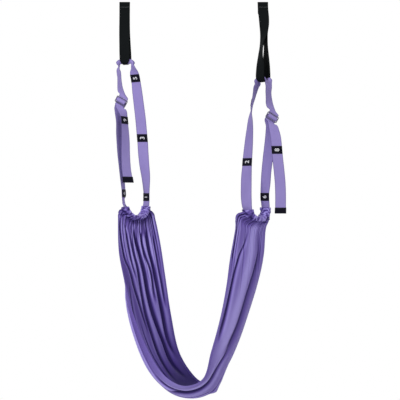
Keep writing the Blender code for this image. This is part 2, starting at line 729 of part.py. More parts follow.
def tail_ribbon(side, x):
    """The free end of the webbing, hanging from the slider in front of the back strap."""
    turn, lean = slider_angles(side)
    edge = SLIDER_REACH + THREAD_REACH + 0.0004
    start = [in_slider(side, x, -edge - more, -behind_bar()) for more in (0.0, 0.0025)]
    if side == "left":
        drop = LEFT_DROP
        hang = [
            (0.158, -0.0095, -0.0450, 186, 16, 0), (0.172, -0.0030, -0.0500, 216, 6, 0),
            (0.188, 0.0022, -0.0545, 234, 0, 0), (0.216, 0.0056, -0.0615, 235, 0, 0),
            (0.245, 0.0080, -0.0675, 231, 0, 0), (0.285, 0.0098, -0.0750, 224, 0, 0),
            (0.320, 0.0105, -0.0820, 221, 0, 0), (0.350, 0.0120, -0.0880, 219, 0, 0),
            (0.380, 0.0145, -0.0945, 216, 0, 0), (0.405, 0.0190, -0.0995, 214, 0, 0),
            (0.424, 0.0225, -0.1035, 213, 0, 0),
        ]
    else:
        drop = RIGHT_DROP
        hang = [
            (0.150, 0.0285, -0.0615, 190, 22, 0), (0.172, 0.0345, -0.0670, 186, 10, 0),
            (0.200, 0.0400, -0.0712, 183, 2, 0), (0.230, 0.0430, -0.0725, 181, 0, 0),
            (0.260, 0.0455, -0.0732, 180, 0, 0), (0.320, 0.0520, -0.0740, 180, 0, 0),
            (0.360, 0.0555, -0.0745, 180, 0, 0), (0.400, 0.0570, -0.0750, 180, 0, 0),
            (0.440, 0.0570, -0.0755, 180, 0, 0), (0.470, 0.0565, -0.0760, 180, 0, 0),
        ]
    stations = [(*point, turn, lean, 0) for point in start]
    stations += [(x + dx, y, -drop - fall, t, le, b) for fall, dx, y, t, le, b in hang]
    return Ribbon(stations)


# Sling


def casing_range(side, ribbon):
    """The stretch of the loop's webbing that the casing is gathered on."""
    drop, height = (LEFT_DROP, LEFT_LOOP) if side == "left" else (RIGHT_DROP, RIGHT_LOOP)
    bottom = ribbon.nearest(-drop - height, ribbon.length * 0.3)
    return bottom - 0.0640, bottom + 0.0640


def casing_surface(ribbon, low, high):
    """Points on the ruched sleeve round the webbing: flat where it lies on it, round outside."""

    def place(along, across):
        s = low + along * (high - low)
        centre, _, width, out, _ = ribbon.frames(s)
        angle = 2 * math.pi * across
        ruche = CASING_RUFFLE_DEPTH * np.sin(2 * math.pi * CASING_RUFFLES * along)
        flare = CASING_FLARE * np.abs(2 * along - 1) ** 4
        rest = (ADJUST_WEB_THICK + CLOTH_THICK) / 2 + CASING_REST_GAP
        seat = rest + CASING_MOUTH_GAP * np.abs(2 * along - 1) ** 2 + CASING_RUFFLE_DEPTH + ruche
        side = (CASING_HALF_WIDTH + ruche + flare) * np.cos(angle)
        rounded = (CASING_HALF_DEPTH + ruche) * np.sin(angle)
        flat = np.where(np.abs(np.sin(angle)) > 0.01, seat, 0.0)
        lift = np.where(np.sin(angle) > 0, flat, rounded)
        return centre + width * side[:, None] + out * (inward(out) * lift)[:, None]

    return place


def casing(side, ribbon, low, high):
    name = f"sling_casing_{side}"
    rows, columns = 3 * CASING_RUFFLES, 12
    bm = grid(rows, columns, casing_surface(ribbon, low, high))
    bmesh.ops.remove_doubles(bm, verts=bm.verts, dist=1e-5)
    bmesh.ops.recalc_face_normals(bm, faces=bm.faces)
    obj = add_object(name, finish_mesh(name, bm), sling_cloth())
    solidify(obj, CLOTH_THICK)


def inward(out):
    """Whether a bight's frames point into it or out of it, as 1 or -1."""
    return np.sign(out[:, 2].sum())


def under_casing(ribbon, s):
    """Points along the outer side of a casing, where the sling's cloth is sewn to it."""
    centre, _, _, out, _ = ribbon.frames(s)
    reach = CASING_HALF_DEPTH + CASING_RUFFLE_DEPTH + CLOTH_THICK / 2 + CASING_REST_GAP
    return centre - out * inward(out) * reach


# Sections of the sling from the left casing to the right one. Each holds its share along the
# sling, its near hem and its far hem as (offset from the line between the anchors, y, z below the
# casings), how far its middle hangs out past the hems, the way that it hangs out, as an angle that
# turns from the left through straight down to the right, and where the deepest point lies.
SLING_SECTIONS = [
    (0.018, (-0.0157, -0.1270, -0.014), (0.0953, -0.0360, -0.006), 0.034, 90, 1.0),
    (0.052, (-0.0358, -0.1380, 0.028), (0.0872, -0.0345, 0.020), 0.026, 80, 1.0),
    (0.095, (-0.0560, -0.1560, 0.118), (0.0835, -0.0310, 0.098), 0.014, 10, 0.9),
    (0.160, (-0.0660, -0.1880, 0.226), (0.0700, -0.0280, 0.222), 0.026, 14, 0.8),
    (0.240, (-0.0750, -0.2180, 0.334), (0.0500, -0.0250, 0.360), 0.040, 24, 0.7),
    (0.320, (-0.0700, -0.2430, 0.444), (0.0400, -0.0220, 0.488), 0.050, 42, 0.65),
    (0.405, (-0.0475, -0.2620, 0.526), (0.0505, -0.0200, 0.576), 0.052, 68, 0.7),
    (0.480, (-0.0200, -0.2680, 0.556), (0.0530, -0.0190, 0.600), 0.046, 90, 0.8),
    (0.555, (0.0035, -0.2630, 0.532), (0.0705, -0.0190, 0.582), 0.042, 112, 0.85),
    (0.635, (-0.0065, -0.2480, 0.446), (0.0710, -0.0200, 0.496), 0.036, 138, 0.9),
    (0.720, (-0.0190, -0.2230, 0.344), (0.0640, -0.0230, 0.386), 0.030, 155, 0.9),
    (0.810, (-0.0400, -0.1880, 0.230), (0.0660, -0.0270, 0.252), 0.022, 165, 0.95),
    (0.900, (-0.0670, -0.1550, 0.120), (0.0560, -0.0310, 0.124), 0.012, 172, 1.0),
    (0.950, (-0.0800, -0.1390, 0.032), (0.0420, -0.0340, 0.034), 0.020, 100, 1.0),
    (0.982, (-0.0885, -0.1290, -0.018), (0.0300, -0.0400, -0.006), 0.036, 90, 1.0),
]


# Where the cloth has its rows, closer together near the casings and at the bottom
CLOTH_ROWS = (
    0.0, 0.018, 0.035, 0.052, 0.073, 0.100, 0.140, 0.190, 0.240, 0.290, 0.340, 0.385, 0.425, 0.462,
    0.500, 0.538, 0.575, 0.615, 0.665, 0.720, 0.785, 0.850, 0.905, 0.936, 0.960, 0.982, 1.0,
)


def lerp(a, b, share):
    return a + (b - a) * share


def sling_section(section, v):
    """Points across one section, from the near hem at v = 0 to the far hem at v = 1."""
    share, near, far, hang, way, deepest = section
    middle_x = lerp(-ANCHOR_SPACING / 2, ANCHOR_SPACING / 2, share)
    top_z = lerp(-LEFT_DROP - LEFT_LOOP, -RIGHT_DROP - RIGHT_LOOP, share)
    a = np.array([middle_x + near[0], near[1], top_z - near[2]])
    b = np.array([middle_x + far[0], far[1], top_z - far[2]])
    angle = math.radians(way)
    out = np.array([-math.cos(angle), 0.0, -math.sin(angle)])
    v = np.asarray(v, float)[:, None]
    swell = np.sin(np.pi * v**deepest) ** 0.8
    return a + (b - a) * v + out * hang * swell


def sling_rows(left, right, v):
    """The sling's rows of points at the shares v: a casing, the sections, and the other casing."""
    rows = [left_casing_row(left, v)]
    rows += [sling_section(section, v) for section in SLING_SECTIONS]
    rows += [right_casing_row(right, v)]
    stops = [0.0] + [section[0] for section in SLING_SECTIONS] + [1.0]
    return stops, np.array(rows)


def left_casing_row(left, v):
    """Along the left casing's outer side, from the slider's side to the far side."""
    ribbon, low, high = left
    return under_casing(ribbon, lerp(high - CASING_SEAM_INSET, low + CASING_SEAM_INSET, np.asarray(v)))


def right_casing_row(right, v):
    """Along the right casing's outer side, from the near side to the slider's side."""
    ribbon, low, high = right
    return under_casing(ribbon, lerp(low + CASING_SEAM_INSET, high - CASING_SEAM_INSET, np.asarray(v)))


def fold_share(u, stops):
    """How far a set of folds stands out along the sling, from (u, share) stops."""
    ends = np.array(stops, float)
    return spline(ends[:, 0], ends[:, 1:], u)[:, 0]


def fold_shift(u, v):
    """How far the cloth stands out of its smooth shape: even folds at the left, fewer at the right."""
    left = fold_share(u, [(0, 0), (0.05, 0), (0.1, 0.6), (0.2, 1), (0.36, 0.9), (0.5, 0.3), (0.62, 0), (1, 0)])
    right = fold_share(u, [(0, 0), (0.36, 0), (0.5, 0.6), (0.62, 1), (0.84, 1), (0.92, 0.5), (0.96, 0), (1, 0)])
    even = np.cos(2 * math.pi * (LEFT_FOLDS * v + 0.12)) * np.sin(math.pi * (0.04 + 0.92 * v)) ** 0.4
    valleys = sum(np.exp(-((v - middle) / 0.055) ** 2) for middle in RIGHT_VALLEYS)
    deep = RIGHT_FOLD_DEPTH * right[:, None] * valleys[None, :]
    low = fold_share(u, [(0, 0), (0.42, 0), (0.48, 0.8), (0.56, 1), (0.62, 0.8), (0.68, 0), (1, 0)])
    crease = np.interp(u, BELLY_CREASE[0], BELLY_CREASE[1])
    under = np.exp(-((v[None, :] - crease[:, None]) / 0.055) ** 2) * low[:, None]
    return LEFT_FOLD_DEPTH * left[:, None] * even[None, :] - deep - BELLY_CREASE_DEPTH * under


def sling_points(left, right):
    def place(along, across):
        rows_at = np.array(CLOTH_ROWS)
        columns = np.linspace(0, 1, CLOTH_COLUMNS + 1)
        stops, rows = sling_rows(left, right, columns)
        base = spline(stops, rows, rows_at)
        along_u = unit(np.gradient(base, axis=0))
        across_v = unit(np.gradient(base, axis=1))
        normal = unit(np.cross(across_v, along_u))
        surface = base + normal * fold_shift(rows_at, columns)[:, :, None]
        i = np.round(along * (len(rows_at) - 1)).astype(int)
        j = np.round(across * CLOTH_COLUMNS).astype(int)
        return surface[i, j]
    return place


def sling(left, right):
    name = "sling_cloth"
    bm = grid(len(CLOTH_ROWS) - 1, CLOTH_COLUMNS, sling_points(left, right))
    obj = add_object(name, finish_mesh(name, bm), sling_cloth())
    solidify(obj, CLOTH_THICK)


def label_places(ribbon, drops, low, high):
    """The stretches of a ribbon that its labels cover, with their number of rows."""
    places = []
    for drop in drops:
        middle = ribbon.nearest(-drop, low, high)
        places.append((middle - LABEL_HEIGHT / 2, middle + LABEL_HEIGHT / 2, LABEL_ROWS))
    return places


def pivot(name, at, pieces):
    """An empty on a joint's axis that the pieces it moves hang from."""
    empty = bpy.data.objects.new(name, None)
    collection(PARTS).objects.link(empty)
    empty.location = at
    empty.empty_display_size = 0.02
    back = Matrix.Translation(-Vector(at))
    for piece in pieces:
        child = bpy.data.objects[piece]
        child.parent = empty
        child.matrix_parent_inverse = back
    return empty


def pivots():
    """The joints: the straps swing from the door's edge, the sling is raised, the tails swing."""
    both = ("left", "right")
    swing = [f"{word}_{side}" for side in both for word in (
        "anchor_strap_edge", "anchor_strap_drop", "bar_tack", "webbing_link", "webbing_short_leg",
        "webbing_long_leg",
    )]
    swing += ["number_label_left_1", "number_label_right_1"]
    raised = ["sling_cloth"] + [f"{word}_{side}" for side in both for word in (
        "sling_casing", "webbing_back", "webbing_thread", "webbing_sewn_end", "slider",
    )]
    raised += [f"number_label_left_{n}" for n in (2, 3, 4)]
    raised += [f"number_label_right_{n}" for n in (2, 3)]
    door_edge = pivot("strap_swing_axis", (0, 0, 0), swing)
    height = pivot("sling_height_axis", (0, 0, -LEFT_DROP), raised)
    height.parent = door_edge
    for side, label in (("left", "number_label_left_5"), ("right", "number_label_right_4")):
        x = -ANCHOR_SPACING / 2 if side == "left" else ANCHOR_SPACING / 2
        bar = in_slider(side, x, -SLIDER_REACH, 0.0)
        hang = pivot(f"tail_swing_axis_{side}", bar, [f"webbing_tail_{side}"])
        hang.parent = height
        hang.matrix_parent_inverse = Matrix.Translation(-height.location)
        end = pivot(f"tail_feed_axis_{side}", bar, [f"tail_end_tab_{side}", label])
        end.parent = hang
        end.matrix_parent_inverse = Matrix.Translation(-bar)


def build_side(side):
    x = -ANCHOR_SPACING / 2 if side == "left" else ANCHOR_SPACING / 2
    anchor_top(side, x)
    anchor_edge(side, x)
    stop_pieces(side, x)
    tack(side, x)
    drop = drop_ribbon(side, x)
    fore, aft = drop.stops[-1] / 2 - 0.032, drop.stops[-1] / 2 + 0.032
    stops = row_stops(0.0, drop.length, 0.0075, [(fore, aft, 24)])
    strip(f"anchor_strap_drop_{side}", drop, stops, ANCHOR_WEB_THICK, black_webbing())

    slider(side, x)
    loop = loop_ribbon(side, x)
    low, high = casing_range(side, loop)
    crown = float(loop.stops[np.argmax(loop.rows[:, 2])])
    climb = loop.nearest(-LINK_ENDS[side][0], 0.0, crown)
    fall = loop.nearest(-LINK_ENDS[side][1], crown, crown + 0.2)
    leg_end = low - 0.0025
    leg_labels = label_places(loop, LONG_LEG_LABELS[side], crown, leg_end)
    back_labels = label_places(loop, BACK_LABELS[side], high, loop.length)
    web = (ADJUST_WEB_THICK, lilac_webbing())
    stops = row_stops(0.0, climb - FIT_GAP, 0.0075, [(0.0, 0.003, 2)])
    strip(f"webbing_short_leg_{side}", loop, stops, *web)
    stops = row_stops(climb, fall, BEND_STEP, leg_labels[:1])
    strip(f"webbing_link_{side}", loop, stops, *web, columns=6)
    stops = row_stops(fall + FIT_GAP, leg_end - FIT_GAP, WEB_STEP, leg_labels[1:])
    strip(f"webbing_long_leg_{side}", loop, stops, *web)
    end = (loop.length - 0.003, loop.length, 2)
    stops = row_stops(leg_end, loop.length, 0.011, back_labels + [end])
    strip(f"webbing_back_{side}", loop, stops, *web)
    thread = local_ribbon(side, x, threaded_path())
    strip(f"webbing_thread_{side}", thread, row_stops(0.0, thread.length, 0.0016), *web, columns=1)
    sewn = local_ribbon(side, x, sewn_path())
    strip(f"webbing_sewn_end_{side}", sewn, row_stops(0.0, sewn.length, 0.0015), *web, columns=1)
    tail = tail_ribbon(side, x)
    tail_labels = label_places(tail, TAIL_LABELS[side], 0.0, tail.length)
    tab = (tail.length - TAB_HEIGHT, tail.length, LABEL_ROWS)
    stops = row_stops(0.0, tail.length, 0.012, [(0.0, 0.003, 2), *tail_labels, tab])
    stops = stops[stops <= tail.length - 0.0012]
    strip(f"webbing_tail_{side}", tail, stops, *web)
    band(f"tail_end_tab_{side}", tail, *tab[:2], ADJUST_WEB_THICK, TAB_THICK, label_cloth())
    number = 0
    for ribbon, places in ((loop, leg_labels), (loop, back_labels), (tail, tail_labels)):
        face = facing(ribbon, places[-1][0])
        for begin, end, _ in places:
            number += 1
            patch(
                f"number_label_{side}_{number}", ribbon, begin, end, face, LABEL_THICK,
                label_cloth(),
            )
    casing(side, loop, low, high)
    return loop, low, high


def main():
    clear_scene()
    left = build_side("left")
    right = build_side("right")
    sling(left, right)
    pivots()


main()
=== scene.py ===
import bpy
import bmesh
import math
import numpy as np
from mathutils import Matrix, Vector, noise


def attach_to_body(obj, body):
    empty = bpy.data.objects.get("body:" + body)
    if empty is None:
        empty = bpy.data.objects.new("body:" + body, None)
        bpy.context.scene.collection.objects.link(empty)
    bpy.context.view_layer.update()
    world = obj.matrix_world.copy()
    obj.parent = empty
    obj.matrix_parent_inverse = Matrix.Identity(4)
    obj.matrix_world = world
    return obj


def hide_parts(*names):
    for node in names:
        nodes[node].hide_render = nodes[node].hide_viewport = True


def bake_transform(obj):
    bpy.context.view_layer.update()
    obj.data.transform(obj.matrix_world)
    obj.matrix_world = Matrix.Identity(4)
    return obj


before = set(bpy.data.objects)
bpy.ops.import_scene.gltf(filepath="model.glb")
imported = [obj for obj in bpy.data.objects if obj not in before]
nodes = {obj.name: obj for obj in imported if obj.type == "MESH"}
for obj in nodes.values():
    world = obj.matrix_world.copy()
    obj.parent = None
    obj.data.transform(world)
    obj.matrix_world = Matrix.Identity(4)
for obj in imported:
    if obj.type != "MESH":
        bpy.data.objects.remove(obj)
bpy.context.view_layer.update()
print("frame loaded:", len(nodes), "nodes")

# camera angle in degrees across the picture; a lamp is its name, place, size and watts
view = {
    "cameraPlace": (0.0226, -3.0, -0.7131), "cameraAngle": 27.14, "lampsAim": (0, -0.1, -0.7),
    "lamps": [("keyLamp", (-1.5, -2.4, 1.0), 0.9, 58), ("fillLamp", (2.3, -2.3, -0.3), 1.6, 18),
              ("backLamp", (0.3, 2.4, 0.6), 1.6, 20)],
    "skyLight": 0.36, "background": 1.0, "floorHeight": -1.72, "floorSize": 2.2,
}


def putInScene(name, data):
    thing = bpy.data.objects.new(name, data)
    bpy.context.scene.collection.objects.link(thing)
    return thing


def setUpView():
    scene = bpy.context.scene
    scene.view_settings.view_transform = "Standard"
    cameraData = bpy.data.cameras.new("photoCamera")
    cameraData.angle = math.radians(view["cameraAngle"])
    scene.camera = putInScene("photoCamera", cameraData)
    scene.camera.location = view["cameraPlace"]
    scene.camera.rotation_euler = (math.pi / 2, 0, 0)
    for name, place, size, watts in view["lamps"]:
        lamp = bpy.data.lights.new(name, "AREA")
        lamp.size, lamp.energy = size, watts
        holder = putInScene(name, lamp)
        holder.location = place
        holder.rotation_euler = (Vector(view["lampsAim"]) - Vector(place)).to_track_quat("-Z", "Y").to_euler()


def setUpWorld():
    # the camera and shiny things see plain white, everything else gets the softer sky light
    world = bpy.data.worlds.new("studio")
    bpy.context.scene.world = world
    world.use_nodes = True
    tree = world.node_tree
    tree.nodes.clear()
    rays = addNode(tree, "LightPath").outputs
    shiny = mathNode(tree, "MAXIMUM", rays["Is Glossy Ray"], rays["Is Transmission Ray"])
    mix = addNode(tree, "MixShader", {"Fac": mathNode(tree, "MAXIMUM", rays["Is Camera Ray"], shiny)})
    for socket, strength in ((1, view["skyLight"]), (2, view["background"])):
        light = addNode(tree, "Background", {"Color": (1, 1, 1), "Strength": strength})
        tree.links.new(light.outputs[0], mix.inputs[socket])
    addNode(tree, "OutputWorld", {"Surface": mix.outputs[0]})


def layFloor():
    bm = bmesh.new()
    bmesh.ops.create_grid(bm, x_segments=2, y_segments=2, size=view["floorSize"] / 2)
    bmesh.ops.translate(bm, vec=(0, 0, view["floorHeight"]), verts=bm.verts)
    floor = pieceFrom("studioFloor", bm, "floor")


# node helpers: a socket is fed a number, a colour or another node's socket
def feed(tree, sockets, values):
    for name, value in values.items():
        if isinstance(value, bpy.types.NodeSocket):
            tree.links.new(value, sockets[name])
        else:
            sockets[name].default_value = (*value, 1.0) if isinstance(value, tuple) else value


def addNode(tree, kind, values=None, **settings):
    node = tree.nodes.new("ShaderNode" + kind)
    for name, value in settings.items():
        setattr(node, name, value)
    feed(tree, node.inputs, values or {})
    return node


def newMaterial(name, **values):
    material = bpy.data.materials.new(name)
    material.use_nodes = True
    tree = material.node_tree
    sockets = tree.nodes["Principled BSDF"].inputs
    named = {"sheen": "Sheen Weight", "sheenSpread": "Sheen Roughness", "sheenTint": "Sheen Tint",
             "shine": "Specular IOR Level", "metal": "Metallic", "coat": "Coat Weight"}
    feed(tree, sockets, {named[word]: value for word, value in values.items()})
    return material, tree, sockets


def mathNode(tree, operation, *values):
    return addNode(tree, "Math", dict(enumerate(values)), operation=operation).outputs[0]


def scaled(tree, value, times, plus=0.0):
    return mathNode(tree, "MULTIPLY_ADD", value, times, plus)


def clamped(tree, value):
    return addNode(tree, "Clamp", {"Value": value}).outputs[0]


def mixColour(tree, share, first, second):
    return addNode(tree, "Mix", {0: share, 6: first, 7: second}, data_type="RGBA").outputs[2]


def objectPlace(tree):
    return addNode(tree, "TexCoord").outputs["Object"]


def mapPlace(tree, name):
    return addNode(tree, "UVMap", uv_map=name).outputs["UV"]


def vertexMask(tree, name):
    return addNode(tree, "Attribute", attribute_name=name).outputs["Fac"]


def newGroup(name, inputs, outputs):
    group = bpy.data.node_groups.new(name, "ShaderNodeTree")
    group.interface.new_socket("Vector", in_out="INPUT", socket_type="NodeSocketVector")
    for socket, value in inputs.items():
        made = group.interface.new_socket(socket, in_out="INPUT", socket_type="NodeSocketFloat")
        made.default_value = value
    for socket in outputs:
        group.interface.new_socket(socket, in_out="OUTPUT", socket_type="NodeSocketFloat")
    return group, group.nodes.new("NodeGroupInput").outputs, group.nodes.new("NodeGroupOutput").inputs


def useGroup(tree, group, vector, **values):
    return addNode(tree, "Group", {"Vector": vector, **values}, node_tree=group).outputs


def setSurface(tree, sockets, colour, roughMask, spread, least, height, strength, distance):
    # colour, roughness from a mask between two values, and relief
    feed(tree, sockets, {"Base Color": colour, "Roughness": scaled(tree, roughMask, spread, least)})
    bump = addNode(tree, "Bump", {"Strength": strength, "Distance": distance, "Height": height})
    tree.links.new(bump.outputs["Normal"], sockets["Normal"])


# effects that several finishes share
def makeWebbingWeave():
    # yarn ribs of flat webbing from its own UV map, in metres: U across it, V along it; and a mask along its
    # edges for painted shade
    group, given, result = newGroup("webbingWeave", {"ribs": 0.0016, "picks": 0.0011, "width": 0.038},
                                    ("height", "edge"))
    place = addNode(group, "SeparateXYZ", {0: given["Vector"]}).outputs
    across = mathNode(group, "DIVIDE", place["X"], given["ribs"])
    along = mathNode(group, "DIVIDE", place["Y"], given["picks"])
    rib = mathNode(group, "ABSOLUTE", mathNode(group, "SINE", scaled(group, across, math.pi)))
    offset = mathNode(group, "MULTIPLY_ADD", mathNode(group, "FLOOR", across), 0.5, along)
    pick = scaled(group, mathNode(group, "SINE", scaled(group, offset, 2 * math.pi)), 0.35, 0.65)
    share = mathNode(group, "DIVIDE", place["X"], given["width"])
    fromMiddle = mathNode(group, "ABSOLUTE", mathNode(group, "SUBTRACT", share, 0.5))
    selvedgeShade = mathNode(group, "SUBTRACT", fromMiddle, 0.43)
    feed(group, result, {"height": mathNode(group, "MULTIPLY", mathNode(group, "POWER", rib, 0.6), pick),
                         "edge": clamped(group, scaled(group, selvedgeShade, 18.0))})
    return group


def makeUnevenDye():
    # slow and quick unevenness of dyed cloth, as two masks about a half
    words = {"slow": 14.0, "quick": 320.0}
    group, given, result = newGroup("unevenDye", words, words)
    for word in words:
        cloud = addNode(group, "TexNoise", {"Vector": given["Vector"], "Scale": given[word], "Detail": 3.0})
        feed(group, result, {word: cloud.outputs["Fac"]})
    return group


webbingWeave = makeWebbingWeave()
unevenDye = makeUnevenDye()


def webbingFinish(name, look):
    material, tree, sockets = newMaterial(name, sheen=look["sheen"], sheenSpread=0.5, shine=look["shine"])
    weave = useGroup(tree, webbingWeave, mapPlace(tree, "strap"), ribs=look["ribs"], picks=look["picks"])
    dye = useGroup(tree, unevenDye, objectPlace(tree), slow=22.0, quick=900.0)
    body = mixColour(tree, dye["slow"], look["deep"], look["light"])
    # painted shade along both edges, where the webbing's rounded thickness turns away from the light
    body = mixColour(tree, scaled(tree, weave["edge"], look["selvedgeShade"]), body, look["edge"])
    # painted shade on the loops' shaded stretches
    body = mixColour(tree, vertexMask(tree, "legShade"), body, look["edge"])
    body = mixColour(tree, scaled(tree, weave["height"], -look["gaps"], look["gaps"]), body, look["shadow"])
    body = mixColour(tree, scaled(tree, dye["quick"], look["fuzz"]), body, look["fibre"])
    height = mathNode(tree, "MULTIPLY_ADD", dye["quick"], 0.4, weave["height"])
    setSurface(tree, sockets, body, dye["quick"], 0.22, look["roughness"], height, look["relief"], 0.0003)
    return material


# edge is the painted shade colour of the edges and of the loops' shaded stretches, shadow the painted shade
# between the yarns
lilacLook = {
    "deep": (0.300, 0.240, 0.590), "light": (0.365, 0.300, 0.665), "edge": (0.060, 0.040, 0.170),
    "shadow": (0.150, 0.100, 0.370), "fibre": (0.46, 0.40, 0.74),
    "ribs": 0.0016, "picks": 0.0011, "selvedgeShade": 0.85, "gaps": 0.30, "fuzz": 0.18,
    "sheen": 0.15, "roughness": 0.62, "relief": 0.55, "shine": 0.22,
}
blackLook = {
    "deep": (0.0030, 0.0040, 0.0046), "light": (0.0060, 0.0076, 0.0085), "edge": (0.0022, 0.0028, 0.0034),
    "shadow": (0.0012, 0.0016, 0.0020), "fibre": (0.018, 0.022, 0.025),
    "ribs": 0.0021, "picks": 0.0015, "selvedgeShade": 0.6, "gaps": 0.45, "fuzz": 0.12,
    "sheen": 0.0, "roughness": 0.72, "relief": 0.8, "shine": 0.07,
}
# valley and ridge are the painted shade and painted highlight colours of the folds
knitLook = {
    "valley": (0.009, 0.001, 0.080), "body": (0.155, 0.100, 0.430), "ridge": (0.465, 0.390, 0.900),
    "hem": (0.130, 0.085, 0.370), "sheenTint": (0.62, 0.52, 1.0), "loops": (0.0009, 0.0012), "relief": 0.22,
}


def slingFinish(look):
    # smooth stretch knit: from the folds' own mask, painted shade darkens the valleys and a painted highlight
    # lightens the ridges
    material, tree, sockets = newMaterial("slingKnit", sheen=0.08, sheenSpread=0.35,
                                          sheenTint=look["sheenTint"], shine=0.22)
    folds, hem = vertexMask(tree, "foldShade"), vertexMask(tree, "hemShade")
    dye = useGroup(tree, unevenDye, objectPlace(tree), slow=9.0, quick=700.0)
    body = mixColour(tree, clamped(tree, scaled(tree, folds, 2.0)), look["valley"], look["body"])
    body = mixColour(tree, clamped(tree, scaled(tree, folds, 2.0, -1.0)), body, look["ridge"])
    body = mixColour(tree, scaled(tree, dye["slow"], 0.22), body, look["body"])
    body = mixColour(tree, scaled(tree, hem, 0.5), body, look["hem"])
    # rows of small knit loops, in the cloth's own metres
    split = addNode(tree, "SeparateXYZ", {0: mapPlace(tree, "cloth")}).outputs
    wales, courses = [mathNode(tree, "SINE", scaled(tree, split[way], 2 * math.pi / pitch))
                      for way, pitch in zip("XY", look["loops"])]
    knit = mathNode(tree, "MULTIPLY_ADD", wales, 0.5, scaled(tree, courses, 0.35))
    knit = mathNode(tree, "MULTIPLY_ADD", hem, 2.5, knit)
    setSurface(tree, sockets, body, dye["quick"], 0.14, 0.46, knit, look["relief"], 0.00025)
    return material


def labelFinish():
    material, tree, sockets = newMaterial("labelDamask", shine=0.08)
    weave = useGroup(tree, webbingWeave, mapPlace(tree, "strap"), ribs=0.0009, picks=0.0007)["height"]
    dye = useGroup(tree, unevenDye, objectPlace(tree), slow=40.0, quick=1200.0)
    body = mixColour(tree, weave, (0.0022, 0.0018, 0.0065), (0.0046, 0.0040, 0.0120))
    setSurface(tree, sockets, body, dye["quick"], 0.2, 0.58, weave, 0.4, 0.0002)
    return material


def threadFinish(name, colour, lighter):
    # twisted thread: a fine slanting band over each stitch
    material, tree, sockets = newMaterial(name, sheen=0.1)
    bands = addNode(tree, "TexWave", {"Vector": objectPlace(tree), "Scale": 420.0, "Distortion": 1.5},
                    wave_type="BANDS", bands_direction="DIAGONAL").outputs["Fac"]
    setSurface(tree, sockets, mixColour(tree, bands, colour, lighter), bands, 0.25, 0.42, bands, 0.3, 0.0002)
    return material


def metalFinish():
    # grey lacquer on cast metal, rubbed at the bars' crowns
    material, tree, sockets = newMaterial("sliderLacquer", metal=0.55, coat=0.15)
    dye = useGroup(tree, unevenDye, objectPlace(tree), slow=120.0, quick=1800.0)
    crown = addNode(tree, "NewGeometry").outputs["Pointiness"]
    rubbed = addNode(tree, "MapRange", {"Value": crown, "From Min": 0.52, "From Max": 0.60}).outputs["Result"]
    share = mathNode(tree, "MULTIPLY", rubbed, dye["slow"])
    body = mixColour(tree, share, (0.070, 0.058, 0.125), (0.240, 0.215, 0.330))
    setSurface(tree, sockets, body, dye["quick"], 0.2, 0.24, dye["quick"], 0.06, 0.0002)
    return material


def foamFinish():
    # closed-cell foam: small pores and a matt skin
    material, tree, sockets = newMaterial("stopFoam")
    cells = addNode(tree, "TexVoronoi", {"Vector": objectPlace(tree), "Scale": 750.0}, feature="DISTANCE_TO_EDGE")
    wall = clamped(tree, scaled(tree, cells.outputs["Distance"], 4.0))
    dye = useGroup(tree, unevenDye, objectPlace(tree), slow=60.0, quick=900.0)
    body = mixColour(tree, wall, (0.030, 0.030, 0.033), (0.014, 0.014, 0.016))
    setSurface(tree, sockets, body, dye["slow"], 0.12, 0.82, wall, 0.35, 0.0004)
    return material


def plasticFinish():
    material, tree, sockets = newMaterial("stopCorePlastic")
    dye = useGroup(tree, unevenDye, objectPlace(tree), slow=80.0, quick=2200.0)
    body = mixColour(tree, dye["slow"], (0.040, 0.040, 0.044), (0.060, 0.060, 0.066))
    setSurface(tree, sockets, body, dye["quick"], 0.25, 0.34, dye["quick"], 0.12, 0.0002)
    return material


def floorPaint():
    material, tree, sockets = newMaterial("floorPaint")
    cloud = addNode(tree, "TexNoise", {"Vector": objectPlace(tree), "Scale": 3.0, "Detail": 4.0}).outputs["Fac"]
    feed(tree, sockets, {"Base Color": mixColour(tree, cloud, (0.80, 0.80, 0.80), (0.86, 0.86, 0.86)),
                         "Roughness": 0.9})
    return material


finishes = {
    "lilac": webbingFinish("lilacWebbing", lilacLook),
    "black": webbingFinish("blackWebbing", blackLook),
    "sling": slingFinish(knitLook),
    "label": labelFinish(),
    "numberThread": threadFinish("numberThread", (0.62, 0.62, 0.68), (0.85, 0.85, 0.90)),
    "lilacThread": threadFinish("lilacThread", (0.27, 0.20, 0.56), (0.44, 0.36, 0.74)),
    "blackThread": threadFinish("blackThread", (0.020, 0.022, 0.026), (0.060, 0.064, 0.072)),
    "metal": metalFinish(),
    "foam": foamFinish(),
    "plastic": plasticFinish(),
    "floor": floorPaint(),
}
print("finishes made:", len(finishes))


# mesh helpers
def pieceFrom(name, bm, finish):
    mesh = bpy.data.meshes.new(name)
    bm.to_mesh(mesh)
    bm.free()
    mesh.materials.append(finishes[finish])
    mesh.shade_smooth()
    return putInScene(name, mesh)


def thicken(piece, thickness, roundness=0.0):
    # gives a sheet its wall; an even wall only on the flat labels, because on crumpled cloth it grows spikes
    wall = piece.modifiers.new("wall", "SOLIDIFY")
    wall.thickness, wall.offset, wall.use_even_offset = thickness, 0.0, roundness > 0
    if roundness:
        edge = piece.modifiers.new("roundedEdge", "BEVEL")
        edge.width, edge.segments = roundness, 2
        edge.limit_method, edge.angle_limit = "ANGLE", math.radians(50)
    bpy.context.view_layer.update()
    graph = bpy.context.evaluated_depsgraph_get()
    mesh = bpy.data.meshes.new_from_object(piece.evaluated_get(graph), preserve_all_data_layers=True,
                                           depsgraph=graph)
    piece.modifiers.clear()
    piece.data = mesh
    mesh.shade_smooth()
    mesh.set_sharp_from_angle(angle=math.radians(55))
    return piece


